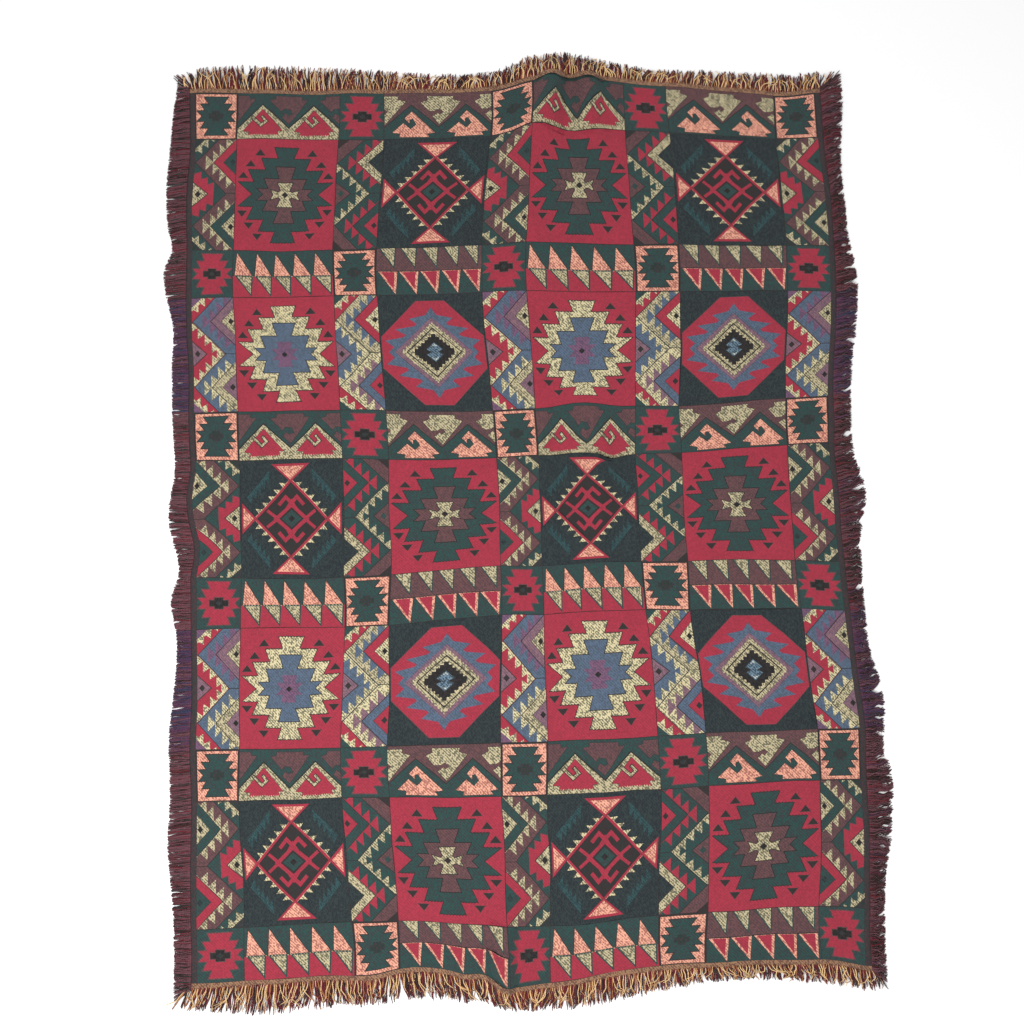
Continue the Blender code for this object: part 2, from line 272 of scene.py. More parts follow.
world = bpy.data.worlds.new("studio")
bpy.context.scene.world = world
world.use_nodes = True
world.node_tree.nodes["Background"].inputs["Color"].default_value = (1, 1, 1, 1)
world.node_tree.nodes["Background"].inputs["Strength"].default_value = WORLD_STRENGTH
bpy.ops.object.light_add(type="AREA", location=LAMP_PLACE)
lamp = bpy.context.object
lamp.data.energy = LAMP_WATTS
lamp.data.shape = "DISK"
lamp.data.size = LAMP_SIZE
lamp.rotation_euler = (LAMP_AIM - LAMP_PLACE).to_track_quat("-Z", "Y").to_euler()
bpy.context.scene.view_settings.view_transform = "Standard"
print("floor, sky and one soft lamp")

# %% [markdown]
# A jacquard cloth is woven from a few colours of yarn. Each area shows one yarn, and the yarns
# behind it peep through as flecks. So every colour here is a pair: the yarn that shows and its
# flecks. A fringe yarn's second colour is its fuzz and the painted shade between its plies. The
# mesh will carry the number of a pair on each face, and the material looks it up.

# %% Yarn colours
YARNS = {  # colour that shows, and its flecks, as a screen shows them
    "red": ((154, 45, 62), (132, 41, 55)),
    "green": ((36, 68, 64), (46, 50, 52)),
    "navy": ((32, 39, 43), (42, 51, 51)),
    "maroon": ((96, 64, 66), (70, 52, 54)),
    "beige": ((182, 170, 136), (82, 80, 64)),
    "cream": ((202, 190, 150), (88, 86, 70)),
    "peach": ((220, 158, 134), (140, 86, 76)),
    "blue": ((80, 96, 117), (66, 76, 88)),
    "purple": ((112, 78, 102), (80, 64, 84)),
    "mauve": ((124, 92, 102), (92, 72, 84)),
    "black": ((28, 28, 28), (42, 36, 36)),
    "umber": ((48, 36, 38), (36, 42, 40)),
    "teal": ((44, 72, 74), (32, 50, 54)),
    "moss": ((32, 48, 44), (52, 44, 48)),
    "sky": ((98, 120, 136), (44, 56, 66)),
    "white": ((178, 184, 176), (90, 100, 104)),
    "hem": ((146, 110, 84), (88, 62, 52)),
    "side": ((108, 72, 80), (64, 58, 62)),
    "selvedge": ((44, 48, 48), (64, 44, 48)),
    # fringe yarns: the second colour is their fuzz and the painted shade between their plies, not
    # flecks
    "cream_yarn": ((252, 222, 166), (196, 142, 90)),
    "tan_yarn": ((198, 138, 84), (122, 72, 50)),
    "maroon_yarn": ((120, 32, 42), (62, 20, 26)),
    "brown_yarn": ((60, 32, 32), (36, 22, 22)),
    "rose_yarn": ((122, 76, 84), (70, 44, 52)),
    "green_yarn": ((34, 58, 54), (24, 38, 36)),
    "purple_yarn": ((92, 52, 84), (56, 36, 58)),
    "blue_yarn": ((58, 62, 92), (38, 44, 62)),
}
YARN_NUMBER = {name: number for number, name in enumerate(YARNS)}
# on the underside each area shows a yarn that its face hides
BEHIND = {
    "red": "green", "green": "red", "navy": "maroon", "maroon": "navy", "beige": "umber",
    "cream": "navy", "peach": "green", "blue": "beige", "purple": "blue", "mauve": "blue",
    "black": "beige", "umber": "beige", "teal": "maroon", "moss": "maroon", "sky": "navy",
    "white": "navy"}


def screen_to_light(value):
    """One screen colour value, 0 to 255, as the amount of light that a shader wants."""
    value /= 255
    return value / 12.92 if value <= 0.04045 else ((value + 0.055) / 1.055) ** 2.4


print(len(YARNS), "pairs of yarn colours")

# %% [markdown]
# The motifs are charted as a weaver's point paper would have them, in block units: 1 is half
# the block's width or height. A few shapes make nearly all of them: a stepped medallion with
# flared tiers, rows of teeth along a line, chevrons, hooked mountains, and diamonds. Most larger
# shapes have a thin edge of another yarn below them, as in the cloth.

# %% Charting tools
BLOCK_EDGE = 0.0006
OUTLINE = 0.0015
COMB_PITCH, COMB_DEPTH = 0.0055, 0.0008
LEVEL_SLOPE = 0.3
SHARPEST, STRAIGHT_BACK = 2.2, 0.01
CORNERS = [(side, up) for side in (-1, 1) for up in (-1, 1)]


def outset(points, distance):
    """The outline moved outwards by a distance, with its corners kept."""
    area = sum(a[0] * b[1] - b[0] * a[1] for a, b in zip(points, points[1:] + points[:1]))
    if area < 0:
        points = points[::-1]
    moved = []
    for before, here, after in zip(points[-1:] + points[:-1], points, points[1:] + points[:1]):
        arriving = (Vector(here) - Vector(before)).normalized()
        leaving = (Vector(after) - Vector(here)).normalized()
        normal = Vector((arriving.y, -arriving.x))
        both = normal + Vector((leaving.y, -leaving.x))
        middle = both.normalized() if both.length > STRAIGHT_BACK else arriving
        stretch = min(1 / max(middle.dot(normal), STRAIGHT_BACK), SHARPEST)
        moved.append(tuple(Vector(here) + middle * distance * stretch))
    return moved


def clip_to(points, low, high):
    """The part of an outline inside a box."""
    for axis in (0, 1):
        for limit, sign in ((low[axis], 1), (high[axis], -1)):
            kept = []
            for before, here in zip(points[-1:] + points[:-1], points):
                inside_before = (before[axis] - limit) * sign >= 0
                inside_here = (here[axis] - limit) * sign >= 0
                if inside_before != inside_here:
                    share = (limit - before[axis]) / (here[axis] - before[axis])
                    cross = [before[i] + (here[i] - before[i]) * share for i in (0, 1)]
                    cross[axis] = limit
                    kept.append(tuple(cross))
                if inside_here:
                    kept.append(here)
            points = kept
    return points


def comb(points):
    """An outline whose level edges have fine teeth, as weft floats make them."""
    found = []
    for here, after in zip(points, points[1:] + points[:1]):
        found.append(here)
        run, rise = after[0] - here[0], after[1] - here[1]
        teeth = int(abs(run) / COMB_PITCH) if abs(rise) < LEVEL_SLOPE * abs(run) else 0
        for tooth in range(1, 2 * teeth):
            share = tooth / (2 * teeth)
            depth = COMB_DEPTH if tooth % 2 else -COMB_DEPTH
            found.append((here[0] + run * share, here[1] + rise * share + depth))
    return found


class Chart:
    """One block's shapes, each with its yarn, in the order in which they cover each other."""

    def __init__(self, left, bottom, right, top, turned=False):
        self.low, self.high = (left, bottom), (right, top)
        self.middle = ((left + right) / 2, (bottom + top) / 2)
        self.half = ((right - left) / 2, (top - bottom) / 2)
        self.turn = -1 if turned else 1
        self.shapes = []

    def flat(self, point):
        """A point in block units as a place on the flat cloth."""
        return tuple(self.middle[i] + self.turn * point[i] * self.half[i] for i in (0, 1))

    def add(self, yarn, places):
        low = tuple(v + BLOCK_EDGE for v in self.low)
        high = tuple(v - BLOCK_EDGE for v in self.high)
        inside = clip_to(places, low, high)
        if len(inside) > 2:
            self.shapes.append((yarn, inside))

    def ground(self, yarn):
        self.fill(yarn, [(-1, -1), (1, -1), (1, 1), (-1, 1)])

    def fill(self, yarn, points, edge=None, width=OUTLINE, combed=False):
        """A filled shape, most often with an edge of another yarn round it."""
        places = [self.flat(point) for point in points]
        places = comb(places) if combed else places
        if edge:
            self.add(edge, outset(places, width))
        self.add(yarn, places)

    def stroke(self, yarn, points, width, edge=None):
        """A line of one width through points, each stretch as its own piece."""
        places = [Vector(self.flat(point)) for point in points]
        bars = []
        for start, end in zip(places, places[1:]):
            along = (end - start).normalized() * width / 2
            side = Vector((-along.y, along.x))
            bars.append([tuple(p) for p in (start - along + side, start - along - side,
                                            end + along - side, end + along + side)])
        for grown, color in ((OUTLINE, edge), (0, yarn)):
            for bar in bars if color else []:
                self.add(color, outset(bar, grown) if grown else bar)


def whole(quarter, ends_level=True, starts_upright=False):
    """An outline from its upper right quarter, run through from top to side. The quarter may end on
    the level middle line, or start on the upright one, and that point isn't repeated."""
    right = quarter + [(u, -v) for u, v in reversed(quarter[:-1] if ends_level else quarter)]
    return right + [(-u, v) for u, v in reversed(right[1:-1] if starts_upright else right)]


def medallion(tiers):
    """Stepped shape from tiers of (top, half width there, half width where the next tier starts)."""
    bottoms = [tier[0] for tier in tiers[1:]] + [0]
    quarter = []
    for (top, wide, narrow), bottom in zip(tiers, bottoms):
        quarter += [(wide, top), (narrow, bottom)]
    return whole(quarter)


def diamond(u, v, half_width, half_height):
    return [(u + half_width, v), (u, v + half_height), (u - half_width, v), (u, v - half_height)]


def flip(points, u=1, v=1):
    return [(u * x, v * y) for x, y in points]


def line_at(start, end, u):
    """Height of a straight line between two points, at a place across."""
    return start[1] + (end[1] - start[1]) * (u - start[0]) / (end[0] - start[0])


def teeth_on(start, end, places, width, gap, tall, upright="left"):
    """Teeth along a line: each has its foot on the line and one upright side."""
    found = []
    for u in places:
        foot = [(u, line_at(start, end, u) + gap), (u + width, line_at(start, end, u + width) + gap)]
        stem = foot[0] if upright == "left" else foot[1]
        found.append([foot[0], foot[1], (stem[0], stem[1] + tall)])
    return found


print("charting tools ready")

# %% [markdown]
# Wide blocks in wide rows hold the four big motifs: two stepped medallions on red, a toothed
# diamond with ram's horns on black, and a red octagon with a feathered diamond. Both medallions
# have the same outer steps and the same sparks round them.

# %% Big motifs
GREAT_TIERS = [(0.84, 0.24, 0.155), (0.645, 0.495, 0.40), (0.435, 0.74, 0.62), (0.21, 0.93, 0.65)]
SPARKS = [(0.53, 0.70), (0.71, 0.50), (0.85, 0.29)]
SPARK_HALF, SPARK_TALL = 0.095, 0.105


def sparks(chart):
    """Twelve small dark triangles round a medallion, pointing away from the middle."""
    for u, v in SPARKS:
        for side, up in CORNERS:
            points = [(side * u - SPARK_HALF, up * v), (side * u + SPARK_HALF, up * v),
                      (side * u, up * (v + SPARK_TALL))]
            chart.fill("umber", points, edge="maroon", width=0.0006)


def green_medallion(chart):
    chart.ground("red")
    chart.fill("green", medallion(GREAT_TIERS), edge="umber", combed=True)
    chart.fill("maroon", medallion([(0.50, 0.20, 0.12), (0.285, 0.43, 0.34), (0.10, 0.555, 0.44)]),
               edge="black", width=0.0014)
    cross = [(0.155, 0.215), (0.085, 0.075), (0.135, 0.04), (0.285, 0.085), (0.235, 0.0)]
    chart.fill("beige", whole(cross), edge="umber")
    chart.fill("black", diamond(0, 0, 0.07, 0.055))
    sparks(chart)


def blue_medallion(chart):
    chart.ground("red")
    chart.fill("cream", medallion(GREAT_TIERS), edge="umber", combed=True)
    chart.fill("blue", medallion([(0.545, 0.215, 0.125), (0.32, 0.465, 0.38), (0.105, 0.605, 0.48)]),
               edge="umber")
    chart.fill("purple", medallion([(0.225, 0.15, 0.115), (0.10, 0.265, 0.15)]))
    chart.fill("black", diamond(0, 0, 0.06, 0.05))
    sparks(chart)


RING_WIDE, RING_TALL = 0.70, 0.655
FRAME_TEETH, SAW_TEETH = 6, 5
UPRIGHT_TIP = [("red", "umber", [(-0.36, 0.925), (0.36, 0.925), (0, 0.615)]),
               ("peach", None, [(-0.265, 0.885), (0.265, 0.885), (0, 0.655)])]
LEVEL_TIP = [("red", "umber", [(0.955, 0.265), (0.955, -0.265), (0.67, 0)]),
             ("peach", None, [(0.925, 0.185), (0.925, -0.185), (0.725, 0)])]


def toothed_diamond(chart):
    chart.ground("navy")
    for side, up in CORNERS:
        for tooth in range(FRAME_TEETH):
            near, far = (tooth + 0.55) / FRAME_TEETH, (tooth + 1.25) / FRAME_TEETH
            high = RING_TALL * (1 - near)
            points = [(RING_WIDE * near, high), (RING_WIDE * near + 0.16, high + 0.012),
                      (RING_WIDE * far, RING_TALL * (1 - far))]
            if far <= 1:
                chart.fill("cream", flip(points, side, up), edge="black", width=0.0006)
        for tooth in range(SAW_TEETH):
            u, v = 0.44 + 0.085 * tooth, 0.78 - 0.086 * tooth
            saw = [(u - 0.035, v + 0.05), (u + 0.085, v - 0.06), (u - 0.01, v - 0.19)]
            chart.fill("teal", flip(saw, side, up))
    ring = [(0, RING_TALL), (RING_WIDE, 0), (0, -RING_TALL), (-RING_WIDE, 0)]
    chart.fill("red", [(u * 1.02, v * 1.02) for u, v in ring], edge="peach", width=0.0007)
    chart.fill("umber", [(u * 0.925, v * 0.925) for u, v in ring], edge="black", width=0.0006)
    for tip, turns in ((UPRIGHT_TIP, [(1, -1), (1, 1)]), (LEVEL_TIP, [(-1, 1), (1, 1)])):
        for side, up in turns:
            for yarn, edge, points in tip:
                chart.fill(yarn, flip(points, side, up), edge=edge, width=0.0007)
    rams_horns(chart)


def rams_horns(chart):
    """The hooked ring inside the toothed diamond."""
    thick = 0.0066
    chart.fill("red", diamond(0, 0, 0.345, 0.265), edge="umber", width=0.0007)
    for up in (-1, 1):
        chart.fill("red", flip([(-0.12, 0.17), (0.12, 0.17), (0, 0.335)], v=up))
        for side in (-1, 1):
            horn = [(0.0, 0.26), (0.11, 0.36), (0.22, 0.25)]
            chart.stroke("red", flip(horn, side, up), thick)
            chart.stroke("red", flip([(0.29, 0.02), (0.44, 0.125)], side, up), thick * 0.85)
    chart.fill("umber", diamond(0, 0, 0.235, 0.19))
    chart.fill("green", diamond(0, 0, 0.19, 0.145))
    chart.fill("black", diamond(0, 0, 0.065, 0.055))


FEATHERS = [(0, 0.77), (0.10, 0.645), (0.40, 0.585), (0.27, 0.50), (0.32, 0.455), (0.68, 0.40),
            (0.49, 0.305), (0.54, 0.26), (0.88, 0.205), (0.73, 0.095), (0.83, 0)]


def fringed_diamond(half_width, half_height, count, depth):
    """A diamond with fine teeth along its sides."""
    quarter = []
    for tooth in range(count):
        share = tooth / count
        u, v = half_width * share, half_height * (1 - share)
        quarter += [(u, v), (half_width * (share + 0.5 / count) - depth * 0.2, v - depth)]
    return whole(quarter + [(half_width, 0)], starts_upright=True)


def staircase(half_width, half_height, steps):
    """A diamond whose sides are stairs."""
    quarter = []
    for step in range(steps):
        quarter += [(half_width * (step + 0.55) / steps, half_height * (1 - end / steps))
                    for end in (step, step + 1)]
    return whole(quarter, ends_level=False)


def feathered_octagon(chart):
    chart.ground("navy")
    octagon = whole([(0.27, 0.89), (0.965, 0.275)], ends_level=False)
    chart.fill("red", octagon, edge="maroon", width=0.0008)
    chart.fill("blue", whole(FEATHERS, starts_upright=True), edge="purple", width=0.0009)
    chart.fill("mauve", diamond(0, 0, 0.715, 0.60), edge="purple", width=0.0010)
    chart.fill("beige", fringed_diamond(0.625, 0.545, 11, 0.05))
    chart.fill("black", diamond(0, 0, 0.515, 0.435))
    chart.fill("beige", diamond(0, 0, 0.485, 0.41))
    chart.fill("cream", staircase(0.415, 0.345, 6))
    chart.fill("black", staircase(0.385, 0.315, 6), edge="umber", width=0.0007)
    petal = [(-0.05, 0.0), (0.05, 0.0), (0.15, 0.045), (0, 0.17), (-0.15, 0.045)]
    glint = [(0, 0.15), (0.075, 0.085), (0, 0.115), (-0.075, 0.085)]
    for up in (-1, 1):
        chart.fill("sky", flip(petal, v=up), edge="navy", width=0.0008)
        chart.fill("white", flip(glint, v=up))


print("four big motifs charted")

# %% [markdown]
# The narrow columns beside them all share one layout: a zigzag that runs down the block, chevrons
# against its right side, a half diamond against its left, and saw teeth along its lines. So the
# layout is one function and each kind is a row in a table of yarns. The kind without a yarn for
# its side teeth has a stepped red shape there.

# %% Zigzag blocks
ZIG_HIGH = 0.575
ZIG_LEFT, ZIG_RIGHT = (-0.93, ZIG_HIGH), (0.57, 0.0)
ZIG_TOP = (0.18, 1.0)
CHEVRON_TIP, CHEVRON_INNER = (-0.09, ZIG_HIGH), (0.39, ZIG_HIGH)
CHEVRON_RISE = 0.383
TOOTH_GAP = 0.010
TOOTH_FEET = (-0.14, 0.19, 0.52)
TOOTH_WIDE, TOOTH_TALL = 0.325, 0.235
CORNER_FEET, SIDE_FEET = (-0.93, -0.62, -0.31), (-0.07, -0.39, -0.71, -1.03)
STRIP, SEAM = 0.024, 0.022

# corner, its band and teeth; upper band, teeth, chevron, inside, stone; side band, its teeth,
# heart, stone; lower band, teeth, chevron, inside, stone
ZIGZAG_YARNS = {
    "V1": ("moss", "green", "beige", "maroon", "beige", "red", "green", "navy", "green", None,
           "beige", "black", "maroon", "beige", "green", "beige", "black"),
    "V2": ("umber", "maroon", "maroon", "green", "red", "beige", "navy", "navy", "green", "beige",
           "maroon", "green", "green", "red", "green", "red", "umber"),
    "V3": ("purple", "red", "cream", "blue", "purple", "mauve", "beige", "black", "red", "cream",
           "mauve", "umber", "blue", "cream", "beige", "mauve", "black"),
    "V4": ("green", "red", "cream", "beige", "blue", "red", "cream", "black", "blue", "cream",
           "mauve", "umber", "cream", "mauve", "blue", "red", "umber"),
}


def chevron_side(chart, up, band, teeth, chevron, inside, stone):
    """The right half of a zigzag block: a band with a chevron in it, above or below."""
    region = [ZIG_TOP, ZIG_LEFT, ZIG_RIGHT, (1, 0), (1, 1)]
    chart.fill(band, flip(region, v=up), edge="umber", width=0.0013)
    rising = (CHEVRON_TIP, (1, ZIG_HIGH + CHEVRON_RISE * (1 - CHEVRON_TIP[0])))
    falling = (CHEVRON_TIP, (1, ZIG_HIGH - CHEVRON_RISE * (1 - CHEVRON_TIP[0])))
    found = [[(-0.48, ZIG_HIGH + 0.135), (-0.48, ZIG_HIGH - 0.135), (-0.13, ZIG_HIGH)]]
    for line, side in ((rising, 1), (falling, -1)):
        start, end = line[0], line[1]
        found.append([start, end, (end[0], end[1] + side * STRIP), (start[0], start[1] + side * STRIP)])
    found += teeth_on(*rising, TOOTH_FEET, TOOTH_WIDE, TOOTH_GAP, TOOTH_TALL)
    found += teeth_on(*falling, TOOTH_FEET, TOOTH_WIDE, -TOOTH_GAP, -TOOTH_TALL)
    for tooth in found:
        chart.fill(teeth, flip(tooth, v=up))
    chart.fill(chevron, flip([rising[1], CHEVRON_TIP, falling[1]], v=up), edge="umber")
    reach = CHEVRON_RISE * (1 - CHEVRON_INNER[0])
    hollow = [(1, ZIG_HIGH + reach), CHEVRON_INNER, (1, ZIG_HIGH - reach)]
    chart.fill(inside, flip(hollow, v=up), edge="umber", width=0.0008)
    chart.fill(stone, flip(diamond(0.83, ZIG_HIGH, 0.13, 0.058), v=up))


def corner_side(chart, up, corner, band, teeth):
    """The left corner above or below the zigzag, with teeth hanging from its tip's line."""
    chart.fill(band, flip([(-1, 1), ZIG_TOP, ZIG_LEFT, (-1, ZIG_HIGH - 0.03)], v=up), edge="umber")
    tip = ((-1, 0.80), (-0.42, 1.0))
    chart.fill(teeth, flip([(-1, 1), (-0.30, 1), (-1, 0.765)], v=up))
    chart.fill(corner, flip([(-1, 1), (-0.50, 1), (-1, 0.83)], v=up))
    for tooth in teeth_on(*tip, CORNER_FEET, 0.26, -0.02, -0.15, upright="right"):
        chart.fill(teeth, flip(tooth, v=up))


def zigzag(chart, kind):
    yarns = ZIGZAG_YARNS[kind]
    corner, upper, lower = yarns[:3], yarns[3:8], yarns[12:]
    side_band, side_teeth, heart, heart_stone = yarns[8:12]
    chart.ground(side_band)
    for up in (-1, 1):
        corner_side(chart, up, *corner)
    chevron_side(chart, 1, *upper)
    chevron_side(chart, -1, *lower)
    if side_teeth:
        tip = ZIG_RIGHT[0] - SEAM * (ZIG_RIGHT[0] - ZIG_LEFT[0]) / ZIG_HIGH
        chart.fill(side_teeth, [(0.16, 0.13), (tip, 0), (0.16, -0.13)])
        band = [(ZIG_LEFT[0], ZIG_HIGH - SEAM), (tip, 0), (tip - 0.05, 0),
                (ZIG_LEFT[0], ZIG_HIGH - 2 * SEAM)]
        teeth = teeth_on(ZIG_LEFT, ZIG_RIGHT, SIDE_FEET, 0.30, -1.6 * SEAM, -0.19)
        for up in (-1, 1):
            for points in [band] + teeth:
                chart.fill(side_teeth, flip(points, v=up))
    else:
        ray = [(-1, 0.22), (-0.95, 0.37), (-0.67, 0.40), (-0.66, 0.27), (-0.36, 0.30),
               (-0.35, 0.165), (-0.06, 0.205)]
        chart.fill("red", ray + [(u, -v) for u, v in reversed(ray)], edge="maroon", width=0.0010)
    chart.fill(heart, [(-1, 0.215), (-0.34, 0), (-1, -0.215)], edge="umber")
    chart.fill(heart_stone, diamond(-0.76, 0, 0.14, 0.06))


print(len(ZIGZAG_YARNS), "zigzag blocks share one chart")

# %% [markdown]
# The narrow rows hold hooked mountains and rows of leaning triangles, and the small blocks between
# those a spiky star each. The mountains with a beak stand upright in peach, and hang upside down,
# with an outline of their own, in beige.

# %% Mountain and triangle blocks
BEAKED = [(0.01, 0.19), (0.44, -0.73), (0.30, -0.78), (0.35, -0.92), (-0.20, -0.92), (-0.19, -0.77),
          (-0.34, -0.71), (-0.14, -0.32), (0.0, -0.58), (0.10, -0.37), (0.03, -0.12), (-0.03, -0.16),
          (-0.03, -0.32), (-0.12, -0.10)]
HANGING = [(-0.22, 0.86), (0.27, 0.86), (0.25, 0.72), (0.40, 0.62), (0.01, -0.36), (-0.135, 0.0),
           (-0.10, 0.02), (-0.04, 0.14), (0.0, 0.06), (0.075, 0.19), (0.0, 0.33), (-0.08, 0.23),
           (-0.19, 0.22), (-0.33, 0.58), (-0.21, 0.70)]
PEAKS = (-0.52, 0.50)
HEM_TEETH, DASHES = 13, 34
TRIANGLES = 5
TRIANGLE_STEP = 0.395


def shifted(points, u):
    return [(x + u, y) for x, y in points]


def red_mountains(chart):
    chart.ground("green")
    ghost = [(0.38, 0.74), (0.27, 0.74), (0.26, 0.88), (-0.26, 0.88), (-0.27, 0.74), (-0.38, 0.70),
             (-0.16, 0.20), (-0.10, 0.34), (0.02, 0.30), (0.07, 0.08), (-0.02, 0.02), (-0.09, 0.12),
             (-0.14, -0.06), (0.0, -0.34), (0.12, 0.0)]
    for place in (-1.04, 0.0, 1.0):
        chart.fill("maroon", shifted(ghost, place), edge="moss", width=0.0010)
    ridge = [(-1, -0.56), (PEAKS[0], 0.47), (0, -0.56), (PEAKS[1], 0.47), (1, -0.56), (1, -1), (-1, -1)]
    chart.fill("beige", ridge, edge="black", width=0.0022)
    for peak in PEAKS:
        inner = [(0, 0.29), (0.40, -0.66), (0.30, -0.66), (0.33, -0.86), (-0.27, -0.86), (-0.25, -0.70),
                 (-0.38, -0.66)]
        chart.fill("red", shifted(inner, peak), edge="umber", width=0.0006)
        hook = [(-0.19, -0.08), (-0.03, -0.42), (0.065, -0.24), (-0.005, -0.06)]
        chart.stroke("beige", shifted(hook, peak), 0.0042, edge="umber")
        for tooth in range(HEM_TEETH):
            foot = -0.26 + 0.0445 * tooth
            points = [(foot, -0.87), (foot + 0.022, -0.80), (foot + 0.044, -0.87)]
            chart.fill("beige", shifted(points, peak))


def beaked_mountains(chart):
    chart.ground("maroon")
    ridge = [(-1, -0.50), (-0.5, 0.45), (0, -0.50), (0.5, 0.45), (1, -0.50), (1, -1), (-1, -1)]
    chart.fill("green", ridge, edge="umber", width=0.0016)
    for place in (-0.5, 0.5):
        chart.fill("peach", shifted(BEAKED, place), edge="umber", width=0.0008)
    for place in (-1.0, 0.0, 1.0):
        chart.fill("beige", shifted(HANGING, place), edge="umber", width=0.0007)


def peach_triangles(chart):
    chart.ground("green")
    chart.fill("red", [(-1, -0.10), (1, -0.10), (1, -1), (-1, -1)], edge="umber")
    for number in range(TRIANGLES):
        left = -0.955 + TRIANGLE_STEP * number
        chart.fill("peach", [(left, -0.07), (left + 0.335, -0.07), (left + 0.035, 0.88)], edge="umber")
        chart.fill("beige", [(left + 0.05, -0.135), (left + 0.325, -0.135), (left + 0.315, -0.84)],
                   edge="green", width=0.0030)
    for dash in range(DASHES):
        left, right = -0.96 + 0.0573 * dash, -0.96 + 0.0573 * dash + 0.028
        chart.fill("beige", [(left, -0.115), (right, -0.115), (right, -0.09), (left, -0.09)])


def red_triangles(chart):
    chart.ground("maroon")
    chart.fill("green", [(-1, -0.02), (1, -0.02), (1, -1), (-1, -1)], edge="umber", width=0.0014)
    for number in range(TRIANGLES):
        left = -0.96 + TRIANGLE_STEP * number
        chart.fill("beige", [(left + 0.03, 1), (left + 0.30, 1), (left + 0.285, 0.20)],
                   edge="green", width=0.0026)
        chart.fill("peach", [(left, -0.02), (left + 0.355, -0.02), (left + 0.325, -0.97)], edge="umber",
                   width=0.0007)
        inner = [(left + 0.058, -0.035), (left + 0.305, -0.035), (left + 0.288, -0.76)]
        chart.fill("red", inner)


# %% Star blocks
def green_star(chart):
    chart.ground("umber")
    chart.fill("peach", [(-0.92, -0.96), (0.92, -0.96), (0.92, 0.93), (-0.92, 0.93)])
    chart.fill("green", medallion([(0.80, 0.53, 0.30), (0.50, 0.69, 0.47), (0.215, 0.85, 0.62)]),
               edge="umber", width=0.0016)
    chart.fill("moss", medallion([(0.21, 0.17, 0.17), (0.11, 0.33, 0.33)]))


def red_star(chart):
    chart.ground("green")
    chart.fill("red", medallion([(0.84, 0.50, 0.36), (0.53, 0.74, 0.55), (0.20, 0.93, 0.70)]),
               edge="maroon", width=0.0018)
    chart.fill("black", medallion([(0.21, 0.19, 0.19), (0.11, 0.42, 0.42)]),
               edge="maroon", width=0.0014)
    chart.fill("moss", diamond(0, 0, 0.14, 0.10))


print("mountains, triangles and stars charted")

# %% [markdown]
# The blocks follow each other in a fixed order. Two wide rows are the first one upside down, so
# their zigzags, marked with ~, are turned by half a turn.

# %% Order of the blocks
DRAWINGS = {
    "W1": green_medallion, "W2": toothed_diamond, "W3": blue_medallion, "W4": feathered_octagon,
    "H1": red_mountains, "H2": beaked_mountains, "H3": peach_triangles, "H4": red_triangles,
    "C1": green_star, "C2": red_star,
}
MOUNTAIN_ROW = "C1 H1 C2 H2 C1 H1 C2 H2 C1"
TRIANGLE_ROW = "C2 H3 C1 H4 C2 H3 C1 H4 C2"
ORDER = [row.split() for row in (
    MOUNTAIN_ROW, "V1 W1 V2 W2 V1 W1 V2 W2 V1",
    TRIANGLE_ROW, "V3 W3 V4 W4 V3 W3 V4 W4 V3",
    MOUNTAIN_ROW, "V1~ W2 V2~ W1 V1~ W2 V2~ W1 V1~",
    TRIANGLE_ROW, "V3 W3 V4 W4 V3 W3 V4 W4 V3",
    MOUNTAIN_ROW, "V1~ W2 V2~ W1 V1~ W2 V2~ W1 V1~",
    TRIANGLE_ROW)]


def draw_block(name, left, bottom, right, top):
    chart = Chart(left, bottom, right, top, turned=name.endswith("~"))
    kind = name.rstrip("~")
    if kind in ZIGZAG_YARNS:
        zigzag(chart, kind)
    else:
        DRAWINGS[kind](chart)
    return chart.shapes


print(sum(len(row) for row in ORDER), "blocks in order")

# %% [markdown]
# Now the charts become cloth. Every outline in a block, and a grid of points that lets it bend,
# goes through a constrained triangulation, which keeps each outline as real edges of the mesh. A
# triangle takes the yarn of the last shape that covers its middle. Neighbouring blocks have the
# same points on their shared edge, so they weld into one sheet.

# %% Weave the flat sheet
COLUMN_CELLS = [6, 14, 6, 18, 13, 28, 6, 14, 6]
ROW_CELLS = [10, 20, 7, 16, 7, 16, 7, 16, 7, 18, 10]
NEAR, WELD_REACH = 1e-6, 4e-6


def stations(start, end, cells):
    return [start + (end - start) * step / cells for step in range(cells + 1)]


def covers(shape, centres):
    """Which of many places lie inside an outline."""
    inside = np.zeros(len(centres), bool)
    for (x0, y0), (x1, y1) in zip(shape[-1:] + shape[:-1], shape):
        if y0 != y1:
            crosses = (y0 > centres[:, 1]) != (y1 > centres[:, 1])
            inside ^= crosses & (centres[:, 0] < x0 + (x1 - x0) * (centres[:, 1] - y0) / (y1 - y0))
    return inside


def weave(shapes, across_stations, along_stations, ground):
    """Points, triangles and the yarn of each triangle for one box of the flat cloth."""
    points = [Vector((across, along)) for across in across_stations for along in along_stations]
    edges = []
    wide, tall = len(across_stations), len(along_stations)
    for low in range(0, (wide - 1) * tall, tall):
        edges += [(low, low + tall), (low + tall - 1, low + 2 * tall - 1)]
    last = (wide - 1) * tall
    for row in range(tall - 1):
        edges += [(row, row + 1), (last + row, last + row + 1)]
    for _, shape in shapes:
        start = len(points)
        points += [Vector(place) for place in shape]
        edges += [(start + i, start + (i + 1) % len(shape)) for i in range(len(shape))]
    made = delaunay_2d_cdt(points, edges, [], 0, NEAR, False)
    places = np.array([tuple(p) for p in made[0]])
    triangles = np.array([face for face in made[2] if len(face) == 3])
    centres = places[triangles].mean(axis=1)
    yarns = np.full(len(triangles), YARN_NUMBER[ground])
    for yarn, shape in shapes:
        yarns[covers(shape, centres)] = YARN_NUMBER[yarn]
    return places, triangles, yarns


